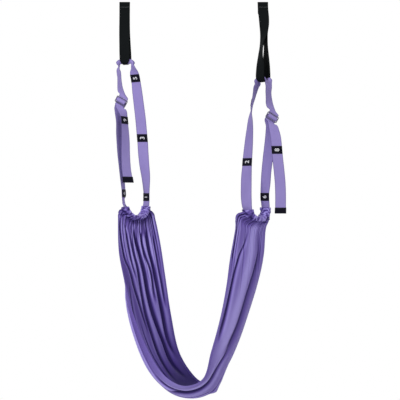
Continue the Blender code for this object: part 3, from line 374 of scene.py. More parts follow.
def gridOf(rows, columns):
    # a flat grid, still to be laid where it belongs, and the row and column of each of its vertices
    bm = bmesh.new()
    bmesh.ops.create_grid(bm, x_segments=columns, y_segments=rows, size=0.5)
    row = np.array([round((v.co.y + 0.5) * rows) for v in bm.verts])
    column = np.array([round((v.co.x + 0.5) * columns) for v in bm.verts])
    return bm, row, column


def placeVerts(bm, points):
    for vertex, point in zip(bm.verts, points):
        vertex.co = point


def keepMask(bm, name, values):
    layer = bm.verts.layers.float.new(name)
    for vertex, value in zip(bm.verts, values):
        vertex[layer] = float(value)


def mapUv(bm, name, across, along):
    # its own UV map in metres; each value belongs to one vertex
    layer = bm.loops.layers.uv.new(name)
    bm.verts.index_update()
    for face in bm.faces:
        for loop in face.loops:
            i = loop.vert.index
            loop[layer].uv = (across[i], along[i])


def closeUp(bm, gap):
    # joins the edges that meet and turns the faces outwards
    bmesh.ops.remove_doubles(bm, verts=bm.verts, dist=gap)
    bmesh.ops.recalc_face_normals(bm, faces=bm.faces)


def attach(piece, slot, body, *stoodFor):
    # the piece's slot, which is not used, the body that carries it, and the solids that it stands for
    if stoodFor:
        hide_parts(*stoodFor)
    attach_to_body(piece, body)
    return piece


def repaint(node, finish):
    nodes[node].data.materials.clear()
    nodes[node].data.materials.append(finishes[finish])


# how strongly something shows at a place: as a bell round a middle, or rising from a start to an end
def bell(at, middle, reach):
    return np.exp(-(((at - middle) / reach) ** 2))


def ramp(at, start, end):
    return np.clip((at - start) / (end - start), 0, 1)


def cloudy(x, y, z):
    # smooth noise between -1 and 1 at each place
    flat = np.stack(np.broadcast_arrays(x, y, z), axis=-1).reshape(-1, 3)
    return np.array([noise.noise(Vector(p)) for p in flat]).reshape(np.broadcast(x, y, z).shape)


# routes: where the webbing runs
def smoothRows(stops, rows, at):
    # rows that run smoothly through those given at the stops
    stops, rows = np.asarray(stops, float), np.asarray(rows, float)
    at = np.clip(np.atleast_1d(np.asarray(at, float)), stops[0], stops[-1])
    step = np.diff(stops)
    secant = np.diff(rows, axis=0) / step.reshape(-1, *[1] * (rows.ndim - 1))
    slope = np.empty_like(rows)
    slope[0], slope[-1] = secant[0], secant[-1]
    for i in range(1, len(stops) - 1):
        slope[i] = (step[i] * secant[i - 1] + step[i - 1] * secant[i]) / (step[i - 1] + step[i])
    k = np.clip(np.searchsorted(stops, at, side="right") - 1, 0, len(stops) - 2)
    shape = (-1, *[1] * (rows.ndim - 1))
    h = step[k].reshape(shape)
    t = ((at - stops[k]) / step[k]).reshape(shape)
    early = (2 * t**3 - 3 * t**2 + 1) * rows[k] + (t**3 - 2 * t**2 + t) * h * slope[k]
    late = (3 * t**2 - 2 * t**3) * rows[k + 1] + (t**3 - t**2) * h * slope[k + 1]
    return early + late


def unitRows(vectors):
    return vectors / np.linalg.norm(vectors, axis=-1, keepdims=True)


def runAlong(points):
    # the distance from the first point to each
    return np.concatenate([[0.0], np.cumsum(np.linalg.norm(np.diff(points, axis=0), axis=1))])


def rowsFrom(table, lies=(0, 0, 0)):
    # full rows in metres from rows in millimetres: a turn, lean or curl that a row leaves out is as in lies
    return [(*(place / 1000 for place in row[:3]), *(row[3:] + lies)[:3]) for row in table]


def makeRoute(rows):
    # each row is x, y, z, turn and lean in degrees, and curl; stops are the distances along the route
    rows = np.array(rows, float)
    stops = runAlong(rows[:, :3])
    return {"rows": rows, "stops": stops, "length": float(stops[-1])}


def routeFrames(route, s):
    # the webbing's middle line, the ways across it and out of its face, and how much its edges curl
    s = np.atleast_1d(np.asarray(s, float))
    row = smoothRows(route["stops"], route["rows"], s)
    small = 2e-4
    ahead = smoothRows(route["stops"], route["rows"], np.minimum(s + small, route["length"]))
    behind = smoothRows(route["stops"], route["rows"], np.maximum(s - small, 0.0))
    along = unitRows(ahead[:, :3] - behind[:, :3])
    turn, lean = np.radians(row[:, 3]), np.radians(row[:, 4])
    width = np.stack([np.cos(turn) * np.cos(lean), np.sin(turn) * np.cos(lean), np.sin(lean)], axis=1)
    out = unitRows(np.cross(along, width))
    return row[:, :3], width, out, np.maximum(row[:, 5], 0.0)


def onRoute(route, s, side, lift):
    # places on the webbing: a distance along it, a distance from its middle line and a height over its face
    s = np.asarray(s, float)
    side = np.asarray(side, float) * np.ones_like(s)
    centre, width, out, curl = routeFrames(route, s)
    # where the webbing's edges curl up, a point moves along an arc and its lift stands square to the curled face
    bent = curl > 1.0
    radius = 1.0 / np.where(bent, curl, 1.0)
    angle = np.where(bent, np.minimum(np.abs(side) / radius, math.pi / 2), 0.0)
    straight = np.abs(side) - angle * radius
    place = np.where(bent, np.sign(side) * radius * np.sin(angle), side)
    rise = np.where(bent, radius * (1 - np.cos(angle)) + straight, 0.0)
    place = place - np.sign(side) * np.sin(angle) * lift
    rise = rise + np.cos(angle) * lift
    return centre + width * place[:, None] + out * rise[:, None]


def routeAtHeight(route, z, low=0.0, high=None):
    tries = 900
    s = np.linspace(low, route["length"] if high is None else high, tries)
    height = smoothRows(route["stops"], route["rows"], s)[:, 2]
    return float(s[np.argmin(np.abs(height - z))])


def facing(route, s):
    # the face of the webbing that is turned to the front: 1 or -1
    return 1.0 if routeFrames(route, s)[2][0][1] < 0 else -1.0


def flatProfile(strap):
    # the webbing cut across: two flat faces and rounded selvedges, as one closed ring
    radius = strap["thickness"] / 2
    reach = strap["width"] / 2 - radius
    flat = np.linspace(-reach, reach, strap["columns"] + 1)
    turn = np.radians([54, 18, -18, -54])
    side = np.concatenate([flat, reach + radius * np.cos(turn), flat[::-1], -reach - radius * np.cos(turn)])
    lift = np.concatenate([np.full(len(flat), radius), radius * np.sin(turn),
                           np.full(len(flat), -radius), -radius * np.sin(turn)])
    return side, lift


def rowStops(route, low, high, strap):
    # rows lie closer together where the webbing bends or twists sharply
    finest = 0.0004
    fine = np.linspace(low, high, max(9, int((high - low) / finest)))
    lines = [onRoute(route, fine, side, 0.0) for side in (-strap["width"] / 2, 0.0, strap["width"] / 2)]
    travel = np.max([np.linalg.norm(np.diff(line, axis=0), axis=1) for line in lines], axis=0)
    run = np.concatenate([[0.0], np.cumsum(travel)])
    rows = max(2, int(round(run[-1] / strap["rowLength"])))
    return np.interp(np.linspace(0, run[-1], rows + 1), run, fine)


def layWebbing(name, route, low, high, strap, finish):
    # one closed wall of webbing along a route, with a little waver
    stops = rowStops(route, low, high, strap)
    side, lift = flatProfile(strap)
    openEnds = "joinGap" not in strap
    if openEnds:
        stops = np.pad(stops, 1, "edge")    # one more row closes each end
    last = len(stops) - 1
    bm, row, column = gridOf(last, len(side))
    column = column % len(side)
    s, share = stops[row], side[column] / strap["width"] + 0.5
    side, lift = side[column], lift[column]
    if openEnds:
        # its two halves are laid on the middle line between the round selvedges, where they join
        closing, reach = (row == 0) | (row == last), (strap["width"] - strap["thickness"]) / 2
        side[closing], lift[closing] = np.clip(side[closing], -reach, reach), 0.0
    waver = strap["waver"] * cloudy(stops * strap["waverRate"], strap["seed"] * 7.31, 0.4)
    narrow = 1.0
    if "taper" in strap:
        middle, depth, reach = strap["taper"]
        narrow = 1 - depth * bell(s, middle, reach)
    placeVerts(bm, onRoute(route, s, side * narrow, lift + waver[row]))
    mapUv(bm, "strap", share * strap["width"], s)
    # painted shade on stretches of the legs that lie in shade, streaked by noise
    if "shadeStretches" in strap:
        place = np.array([v.co for v in bm.verts])
        x, z = place[:, 0], place[:, 2]
        dark = sum(strength * np.exp(-(((z - middle) / reach) ** 4)) * ((x >= start) & (x <= end))
                   for start, end, middle, reach, strength in strap["shadeStretches"])
        keepMask(bm, "legShade", np.minimum(0.8, (0.8 + 0.5 * cloudy(share * 9, z * 14, 2.0)) * dark))
    closeUp(bm, strap.get("joinGap", 1e-6))
    piece = pieceFrom(name, bm, finish)
    piece.data.set_sharp_from_angle(angle=math.radians(60))
    return piece


def layPatch(name, route, low, high, face, patch, finish):
    # a label sewn flat on one face, a little pillowed between its seams
    bm, row, column = gridOf(patch["rows"], patch["columns"])
    along, across = row / patch["rows"], column / patch["columns"]
    rest = patch["webThickness"] / 2 + patch["gap"] + patch["thickness"] / 2
    pillow = patch["pillow"] * np.sqrt(np.sin(np.pi * along)) * (1 - (2 * across - 1) ** 4)
    side = (across - 0.5) * patch["width"]
    placeVerts(bm, onRoute(route, low + along * (high - low), side, face * (rest + pillow)))
    mapUv(bm, "strap", across * patch["width"], along * (high - low))
    return thicken(pieceFrom(name, bm, finish), patch["thickness"], patch["thickness"] * 0.3)


def wrapSleeve(name, route, low, high, sleeve, finish):
    # a flat sleeve of label cloth sewn round the webbing, a little pillowed between its seams
    halfWidth = sleeve["width"] / 2 + sleeve["gap"] + sleeve["thickness"] / 2
    halfDepth = sleeve["webThickness"] / 2 + sleeve["gap"] + sleeve["thickness"] / 2
    bm, row, column = gridOf(sleeve["rows"], sleeve["columns"])
    along, across = row / sleeve["rows"], column / sleeve["columns"]
    turn = across * 2 * math.pi
    flat, deep = [np.clip(steep * way(turn), -1, 1) for steep, way in zip(sleeve["flatness"], (np.cos, np.sin))]
    pillow = sleeve["pillow"] * np.sqrt(np.sin(np.pi * along)) * np.sign(deep) * (1 - flat**2)
    placeVerts(bm, onRoute(route, low + along * (high - low), flat * halfWidth, deep * halfDepth + pillow))
    mapUv(bm, "strap", across * 2 * sleeve["width"], along * (high - low))
    closeUp(bm, 1e-5)
    return thicken(pieceFrom(name, bm, finish), sleeve["thickness"], sleeve["thickness"] * 0.3)


def sewRun(name, points, ways, rises, stitch, finish):
    # a row of stitches: each is one short rounded bar, pressed into the cloth at its ends
    seed = bmesh.new()
    bmesh.ops.create_uvsphere(seed, u_segments=5, v_segments=4, radius=0.5)
    bmesh.ops.rotate(seed, matrix=Matrix.Rotation(math.pi / 2, 3, "Y"), verts=seed.verts)
    bmesh.ops.scale(seed, vec=(stitch["length"], stitch["width"], stitch["height"]), verts=seed.verts)
    shape = bpy.data.meshes.new(name + "_stitch")
    seed.to_mesh(shape)
    seed.free()
    bm = bmesh.new()
    for point, way, rise in zip(points, ways, rises):
        x, z = Vector(way).normalized(), Vector(rise)
        z = (z - x * z.dot(x)).normalized()
        place = Matrix((x, z.cross(x), z)).transposed().to_4x4()
        place.translation = Vector(point)
        before = len(bm.verts)
        bm.from_mesh(shape)
        bm.verts.ensure_lookup_table()
        bmesh.ops.transform(bm, matrix=place, verts=bm.verts[before:])
    bpy.data.meshes.remove(shape)
    return pieceFrom(name, bm, finish)


# black anchor straps: one closed loop of webbing round the door stop and down to its eye
anchorStrap = {
    "width": 0.038, "thickness": 0.0021, "rowLength": 0.0035, "columns": 8,
    "waver": 0.00006, "waverRate": 26.0, "seed": 3, "joinGap": 0.00002,
    "layerHeights": (0.0011, 0.0036), "edgeRadius": 0.003, "forkPlace": 0.041,
    "flatPlaces": (0.006, 0.012, 0.022, 0.032, 0.039, 0.041),
    "stopPlace": (0.0575, -0.010), "wrapRadius": 0.0154, "splay": 0.095, "splayFrom": 0.0045,
    "squeeze": {"left": (0.58, 0.012), "right": (0.34, 0.012)},
}
anchorPlaces = {"left": -0.25, "right": 0.25}
# routes are rows of x, y, z in millimetres, then turn and lean in degrees and curl where these aren't 0
dropRoutes = {
    "left": rowsFrom([
        (-250, -1.1, -9.8), (-250, -1.7, -53.2), (-249, -5.6, -105.3, -3), (-245.8, -10.4, -155.3, -9),
        (-243, -13.2, -192.2, -14), (-242.2, -13.8, -208.4, -16), (-242.2, -14, -217, -16),
        (-242.4, -14.7, -220.8, -16), (-243, -16.8, -224, -16), (-243.9, -19.9, -226.1, -16),
        (-244.9, -23.5, -226.9, -16), (-245.9, -27.1, -226.1, -16), (-246.8, -30.2, -224, -16),
        (-247.4, -32.3, -220.8, -16), (-247.6, -33, -217, -16), (-247.6, -33, -208.4, -16),
        (-248, -32.2, -192.2, -14), (-248.8, -24.2, -155.3, -9), (-250, -12.4, -105.3, -3),
        (-250, -5.2, -53.2), (-250, -3.6, -9.8),
    ]),
    "right": rowsFrom([
        (250, -1.1, -9.8), (251, -1.6, -29.4, -2), (253, -5.8, -49, -14), (254.4, -10.8, -77, -28),
        (254, -16, -116.2, -53), (258.6, -18, -149.9, -72), (260.2, -18.4, -197.5, -63),
        (260.6, -19, -239.5, -48), (261, -19.4, -261.9, -45), (261.2, -19.2, -272.1, -45),
        (260.2, -20.2, -278.9, -45), (257.5, -22.9, -284.7, -45), (253.4, -27, -288.5, -45),
        (248.6, -31.8, -289.9, -45), (243.8, -36.6, -288.5, -45), (239.7, -40.7, -284.7, -45),
        (237, -43.4, -278.9, -45), (236, -44.4, -272.1, -45), (236.2, -44.2, -261.9, -45),
        (237.4, -42.8, -239.5, -48), (238.8, -33.2, -197.5, -68), (244.8, -26.2, -149.9, -73),
        (251.6, -21.2, -116.2, -53), (253.6, -15, -77, -28), (252.6, -9.2, -49, -14), (251, -4.6, -29.4, -2),
        (250, -3.6, -9.8),
    ]),
}


def tangentAngle(place, centre, radius, way):
    # where a straight strap from the place meets the round stop
    dy, dz = place[0] - centre[0], place[1] - centre[1]
    return math.atan2(dz, dy) - way * math.acos(radius / math.hypot(dy, dz))


def arcPlaces(centre, radius, angles):
    return [(centre[0] + radius * math.cos(a), centre[1] + radius * math.sin(a)) for a in angles]


def anchorRoute(side):
    # from the drop over the door's edge, round the stop behind it and back, as places back and up
    x = anchorPlaces[side]
    inner, outer = anchorStrap["layerHeights"]
    edge, fork = anchorStrap["edgeRadius"], anchorStrap["forkPlace"]
    stop, wrap = anchorStrap["stopPlace"], anchorStrap["wrapRadius"]
    upper = tangentAngle((fork, outer), stop, wrap, 1)
    lower = tangentAngle((fork, inner), stop, wrap, -1)
    lower = lower - 2 * math.pi if lower > upper else lower
    quarter = np.radians(np.linspace(180, 90, 9))
    path = arcPlaces((edge, -edge), edge + outer, quarter)
    path += [(y, outer) for y in anchorStrap["flatPlaces"]]
    path += arcPlaces(stop, wrap, np.linspace(upper, lower, 25))
    path += [(y, inner) for y in anchorStrap["flatPlaces"][::-1]]
    path += arcPlaces((edge, -edge), edge + inner, quarter[::-1])
    splay = math.copysign(anchorStrap["splay"], x)
    back = [(x + splay * max(0.0, y - anchorStrap["splayFrom"]), y, z, 0, 0, 0) for y, z in path]
    return makeRoute([*dropRoutes[side], *back, dropRoutes[side][0]])


barTack = {"width": 0.031, "drop": 0.016, "count": 30, "slant": 0.45, "proud": 0.0003,
           "stitch": {"length": 0.0028, "width": 0.0009, "height": 0.0009}}


def makeAnchor(side):
    x = anchorPlaces[side]
    route = anchorRoute(side)
    eye = float(route["stops"][np.argmin(route["rows"][:, 2])])
    shape = {**anchorStrap, "taper": (eye, *anchorStrap["squeeze"][side])}
    strap = layWebbing(f"anchorStrap_{side}", route, 0.0, route["length"], shape, "black")
    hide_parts(f"anchor_strap_top_{side}", f"anchor_strap_edge_{side}", f"anchor_strap_drop_{side}")
    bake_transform(strap)
    count = barTack["count"]
    face = -anchorStrap["layerHeights"][1] - anchorStrap["thickness"] / 2 - barTack["proud"]
    points = [(x + place, face, -barTack["drop"]) for place in np.linspace(-0.5, 0.5, count) * barTack["width"]]
    ways = [(barTack["slant"] if i % 2 else -barTack["slant"], 0, 1) for i in range(count)]
    tack = sewRun(f"barTack_{side}", points, ways, [(0, -1, 0)] * count, barTack["stitch"], "blackThread")
    attach(tack, "tack_thread", "hangers", f"bar_tack_{side}")
    repaint(f"door_stop_foam_{side}", "foam")
    repaint(f"door_stop_core_{side}", "plastic")


# lilac loops
webbing = {
    "width": 0.038, "thickness": 0.0017, "rowLength": 0.0032, "columns": 10,
    "waver": 0.00035, "waverRate": 26.0, "seed": 5,
}
sliderWebbing = {**webbing, "rowLength": 0.0009, "waver": 0.0}
# painted shade on stretches of the loops that lie in shade: from x, to x, height of the middle, reach up and
# down, strength
loopShadeStretches = {
    "left": [(-0.30, -0.255, -0.290, 0.050, 0.22), (-0.30, -0.247, -0.440, 0.060, 0.20)],
    "right": [(0.150, 0.226, -0.560, 0.190, 0.24), (0.226, 0.30, -0.640, 0.110, 0.14)],
}
loopRoutes = {
    "left": rowsFrom([
        (-250.8, -42.2, -348.2, 161, 30), (-249.6, -42.6, -346.1, 161, 30), (-257.8, -37.5, -330.5, 142, 20),
        (-263, -32.5, -313.4, 127, 8), (-265.8, -28, -292.1, 119, 2), (-267.2, -25, -270.7, 116),
        (-268, -23.6, -254.7, 117, 0, 8), (-268.6, -22.6, -244, 111, 0, 20),
        (-266, -17.4, -230.6, 91.6, 0, 42.9), (-266, -17.4, -226.6, 85, 0, 60),
        (-265.3, -17.7, -224.8, 78.4, 0, 100), (-263.5, -18.2, -224, 74, 0, 142.9),
        (-254.2, -20.8, -224, 74, 0, 142.9), (-244.9, -23.5, -224, 74, 0, 142.9),
        (-235.6, -26.2, -224, 74, 0, 142.9), (-226.3, -28.8, -224, 74, 0, 142.9),
        (-224.5, -29.3, -224.8, 81.2, 0, 100), (-223.8, -29.6, -226.6, 92, 0, 60),
        (-223.8, -29.6, -230.6, 102.8, 0, 42.9), (-219.4, -29.2, -243, 121, 0, 20),
        (-215.5, -28.2, -252.6, 140, 0, 8), (-212.5, -27.2, -261.1, 150), (-209, -26.5, -276.1, 152),
        (-206.8, -26.2, -291, 153), (-203, -26.2, -322, 162), (-197, -27, -370.6, 168),
        (-191, -28.5, -418.6, 174), (-185.5, -30.5, -476.8, 176), (-182.8, -31.5, -506.2, 176),
        (-181, -32.5, -537.2, 174), (-176.5, -34.5, -588.5, 162), (-171, -36.5, -634.4, 146),
        (-169.2, -38.4, -671.2, 131), (-168.6, -39.5, -688.3, 127), (-168.6, -42.2, -717.1, 127),
        (-170.8, -46, -740, 129), (-175.2, -52, -757, 131), (-183.8, -62, -767.5, 132),
        (-201, -79, -771.5, 132), (-220.2, -97, -767.5, 132), (-232.2, -106.5, -753.5, 127),
        (-237.2, -108, -733.5, 112, 0, 14), (-240, -106.4, -719.5, 98, 0, 48),
        (-242.2, -104.5, -704.9, 80, 0, 14), (-245.5, -99.5, -675, 76), (-253.5, -87, -601.8, 70),
        (-260.5, -73.5, -537.7, 66), (-264, -61, -479, 63), (-265, -50, -425.6, 56),
        (-264.8, -43.5, -398.9, 30, -8), (-263.7, -32.5, -374.8, -19, -30), (-262.5, -33, -372.6, -19, -30),
    ]),
    "right": rowsFrom([
        (285, -51.1, -406.6, -166, 30), (286.3, -50.8, -404.5, -166, 30), (276.2, -54, -390.6, -156, 22),
        (270.8, -52.8, -374.9, -142, 10), (267.8, -51.7, -352, -130, 2), (266.2, -50.8, -330, -127),
        (265.6, -50, -308.6, -131, 0, 14), (264.2, -47.4, -293.6, -135, 0, 20.5),
        (264.2, -47.4, -289.6, -135, 0, 28.8), (263.6, -46.8, -287.8, -135, 0, 47.9),
        (262.3, -45.5, -287, -135, 0, 68.5), (255.5, -38.7, -287, -135, 0, 68.5),
        (248.6, -31.8, -287, -135, 0, 68.5), (241.7, -24.9, -287, -135, 0, 68.5),
        (234.9, -18.1, -287, -135, 0, 68.5), (233.6, -16.8, -287.8, -133.4, 0, 47.9),
        (233, -16.2, -289.6, -131, 0, 28.8), (233, -16.2, -293.6, -128.6, 0, 20.5),
        (226.5, -19, -308.6, -122, 0, 14), (220, -21.5, -327.6, -114), (213.8, -28.5, -357.9, -106, 0, 8),
        (211.5, -31.2, -371.5, -103, 0, 16), (209.5, -34.2, -385.2, -98, 0, 24),
        (205, -40, -418.9, -73, 0, 14), (200, -47.5, -464.2, -55), (195.5, -57, -514, -42),
        (190.8, -68, -564.8, -33), (188.8, -74, -593.1, -31), (186.5, -80, -622.8, -20),
        (185, -88.5, -663.8, -8), (185, -99.5, -713.1, -16), (187.5, -105.5, -740.9, -32),
        (193, -105, -759.5, -46), (207, -93, -774.1, -50), (227, -75, -779, -50), (246, -58, -773.1, -50),
        (256, -49, -758.5, -49), (256.6, -46.5, -742.4, -46), (254.6, -45.5, -716, -42),
        (254, -45.5, -687.7, -40), (256.2, -46, -656, -30), (259.2, -46.2, -613.1, -27),
        (264.5, -46.6, -564.3, -20), (271, -47.4, -514, -7), (274.5, -48.4, -476.4, 5, -2),
        (275, -49.2, -454.5, 10, -14), (269, -50.1, -433.2, 14, -30), (270.2, -49.7, -431.1, 14, -30),
    ]),
}
tailRoutes = {
    "left": rowsFrom([
        (-264.1, -37.6, -372.6, 161, 30), (-265.3, -37.2, -374.8, 161, 30), (-259.5, -45, -386, 186, 16),
        (-253, -50, -400, 216, 6), (-247.8, -54.5, -416, 234), (-244.4, -61.5, -444, 235),
        (-242, -67.5, -473, 231), (-240.2, -75, -513, 224), (-239.5, -82, -548, 221), (-238, -88, -578, 219),
        (-235.5, -94.5, -608, 216), (-231, -99.5, -633, 214), (-227.5, -103.5, -652, 213),
    ]),
    "right": rowsFrom([
        (271.4, -54.5, -431.1, 194, 30), (270.1, -54.8, -433.2, 194, 30), (278.5, -61.5, -441, 190, 22),
        (284.5, -67, -463, 186, 10), (290, -71.2, -491, 183, 2), (293, -72.5, -521, 181),
        (295.5, -73.2, -551, 180), (302, -74, -611, 180), (305.5, -74.5, -651, 180), (307, -75, -691, 180),
        (307, -75.5, -731, 180), (306.5, -76, -761, 180),
    ]),
}
# the slider holds the webbing at one turn and lean throughout, so its rows leave them out
sliderLies = {"left": (161, 30, 0), "right": (194, 30, 0)}
threadRoutes = {
    "left": rowsFrom([
        (-250.9, -42.1, -348.6), (-252.5, -41.6, -351.3), (-253.4, -41.7, -352.8), (-254.3, -42.6, -353.8),
        (-257.2, -46.6, -356.3), (-258.8, -48, -358), (-260.3, -48.3, -360.4), (-261.4, -47.1, -362.9),
        (-261.7, -45, -364.5), (-261.6, -40.1, -367.1), (-261.8, -38.9, -368.1), (-262.4, -38.2, -369.5),
        (-263.9, -37.6, -372.3),
    ], sliderLies["left"]),
    "right": rowsFrom([
        (284.8, -51.1, -407), (283.3, -51.5, -409.8), (282.6, -52.2, -411.2), (282.3, -53.4, -412.2),
        (282, -58.3, -414.7), (281.5, -60.4, -416.4), (280.4, -61.4, -418.9), (278.8, -61, -421.3),
        (277.4, -59.5, -423), (274.8, -55.2, -425.5), (274, -54.3, -426.5), (273.1, -54.1, -427.9),
        (271.6, -54.5, -430.7),
    ], sliderLies["right"]),
}
sewnRoutes = {
    "left": rowsFrom([
        (-263.1, -35.5, -372.1), (-261.6, -36, -369.5), (-260.6, -37.2, -367.1), (-259.8, -39.6, -364.5),
        (-259.8, -41.9, -363.2), (-260.3, -43.6, -363.1), (-260.3, -45.2, -362.1), (-259.6, -46.1, -360.4),
        (-258.5, -45.9, -358.8), (-257.4, -44.6, -357.7), (-256.8, -43, -357.6), (-256.6, -41.4, -358.2),
        (-256.7, -38.7, -359.9), (-257.8, -36.3, -363), (-259.1, -34.4, -366.3), (-260.8, -33.5, -369.5),
        (-262.3, -33, -372.3),
    ], sliderLies["left"]),
    "right": rowsFrom([
        (271.1, -52.2, -430.5), (272.6, -51.8, -427.9), (274.1, -52.2, -425.5), (276, -53.9, -422.9),
        (277.3, -55.8, -421.7), (277.8, -57.5, -421.5), (278.7, -58.9, -420.5), (279.8, -59.2, -418.9),
        (280.6, -58.4, -417.2), (280.8, -56.7, -416.2), (280.4, -55.1, -416), (279.7, -53.6, -416.7),
        (278.2, -51.5, -418.3), (275.9, -50, -421.5), (273.8, -49.2, -424.7), (271.9, -49.3, -427.9),
        (270.4, -49.7, -430.7),
    ], sliderLies["right"]),
}
# heights at which a loop's parts meet and bend, and the middle of its casing
loopPlaces = {
    "left": {"climb": -0.262, "fall": -0.2935, "follows": -0.462, "joint": -0.703, "casing": -0.7715,
             "sliderTop": -0.346, "tailHeld": -0.377, "tailFree": -0.414},
    "right": {"climb": -0.336, "fall": -0.3895, "follows": -0.545, "joint": -0.579, "casing": -0.779,
              "sliderTop": -0.404, "tailHeld": -0.436, "tailFree": -0.520},
}
casingHalfLength = 0.064

labelPatch = {"width": 0.0382, "webThickness": 0.0018, "gap": 0.00035, "thickness": 0.0006,
              "height": 0.028, "rows": 12, "columns": 16, "pillow": 0.0004}
tabSleeve = {"width": 0.038, "webThickness": 0.0018, "gap": 0.00035, "thickness": 0.0009,
             "height": 0.021, "rows": 8, "columns": 20, "pillow": 0.0003, "flatness": (1.35, 3.0),
             "tuck": 0.0006, "seams": (0.003, 0.017)}
numberPrint = {"size": 0.0225, "bold": 0.0003, "raise": 0.00012, "depth": 0.00025, "cut": 0.0018,
               "reach": 0.0135}
labelStitch = {"length": 0.0019, "width": 0.0006, "height": 0.0005, "pitch": 0.0027, "inset": 0.0022,
               "span": 0.94, "proud": 0.0001}
# digit, leg, height, body, number of its node
labels = {
    "left": [("5", "front", -0.276, "hangers", 1), ("3", "front", -0.491, "sling_unit", 2),
             ("1", "front", -0.703, "sling_unit", 3), ("6", "rear", -0.690, "sling_unit", 4),
             ("9", "tail", -0.430, "tail_end_left", 5)],
    "right": [("4", "front", -0.366, "hangers", 1), ("2", "front", -0.579, "sling_unit", 2),
              ("6", "rear", -0.702, "sling_unit", 3), ("8", "tail", -0.536, "tail_end_right", 4)],
}


def printNumber(name, route, middle, digit, riseWay, face):
    # a digit that reads up the strap
    curve = bpy.data.curves.new(name, "FONT")
    curve.body, curve.size = digit, numberPrint["size"]
    curve.extrude, curve.offset = numberPrint["depth"] / 2, numberPrint["bold"]
    curve.align_x = curve.align_y = "CENTER"
    holder = putInScene(name + "_curve", curve)
    bpy.context.view_layer.update()
    mesh = bpy.data.meshes.new_from_object(holder)
    bpy.data.objects.remove(holder)
    bm = bmesh.new()
    bm.from_mesh(mesh)
    bpy.data.meshes.remove(mesh)
    bmesh.ops.remove_doubles(bm, verts=bm.verts, dist=1e-6)
    # the digit is cut into small squares, so that it follows the label
    cuts = np.arange(-numberPrint["reach"], numberPrint["reach"] + 0.0001, numberPrint["cut"])
    for way in (Vector((1, 0, 0)), Vector((0, 1, 0))):
        for place in cuts:
            everything = bm.verts[:] + bm.edges[:] + bm.faces[:]
            bmesh.ops.bisect_plane(bm, geom=everything, plane_co=way * float(place), plane_no=way, dist=1e-6)
    co = np.array([v.co for v in bm.verts])
    co[:, :2] -= (co[:, :2].max(0) + co[:, :2].min(0)) / 2
    top = labelPatch["webThickness"] / 2 + labelPatch["gap"] + labelPatch["thickness"] + labelPatch["pillow"]
    lift = face * (top + numberPrint["raise"] + co[:, 2])
    placeVerts(bm, onRoute(route, middle + riseWay * co[:, 0], face * riseWay * co[:, 1], lift))
    bmesh.ops.recalc_face_normals(bm, faces=bm.faces)
    piece = pieceFrom(name, bm, "numberThread")
    piece.data.set_sharp_from_angle(angle=math.radians(40))
    return piece


def sewAcross(name, route, places, sleeve, faces):
    # rows of stitches across one or both faces
    reach = sleeve["webThickness"] / 2 + sleeve["gap"] + sleeve["thickness"] + labelStitch["proud"]
    count = int(sleeve["width"] * labelStitch["span"] / labelStitch["pitch"])
    sides = (np.arange(count) - (count - 1) / 2) * labelStitch["pitch"]
    points, ways, rises = [], [], []
    for s in places:
        for face in faces:
            at = np.full(count, s)
            _, width, out, _ = routeFrames(route, at)
            points += list(onRoute(route, at, sides, face * reach))
            ways += list(width)
            rises += list(out * face)
    return sewRun(name, points, ways, rises, labelStitch, "blackThread")


def makeLabel(side, route, middle, digit, body, number, riseWay, face):
    low, high = middle - labelPatch["height"] / 2, middle + labelPatch["height"] / 2
    patch = layPatch(f"numberLabel_{side}_{number}", route, low, high, face, labelPatch, "label")
    attach(patch, "label_cloth", body, f"number_label_{side}_{number}")
    printed = printNumber(f"numberPrint_{side}_{number}", route, middle, digit, riseWay, face)
    attach(printed, "label_cloth", body)
    seams = (low + labelStitch["inset"], high - labelStitch["inset"])
    sewn = sewAcross(f"labelStitches_{side}_{number}", route, seams, labelPatch, (face,))
    attach(sewn, "tack_thread", body)


def makeTab(side, tail):
    # the dark sleeve at the end of the free tail
    body, start = f"tail_end_{side}", tail["length"] - tabSleeve["height"]
    tab = wrapSleeve(f"tailEndTab_{side}", tail, start, tail["length"], tabSleeve, "label")
    attach(tab, "label_cloth", body, f"tail_end_tab_{side}")
    seams = [start + place for place in tabSleeve["seams"]]
    attach(sewAcross(f"tabStitches_{side}", tail, seams, tabSleeve, (-1, 1)), "tack_thread", body)


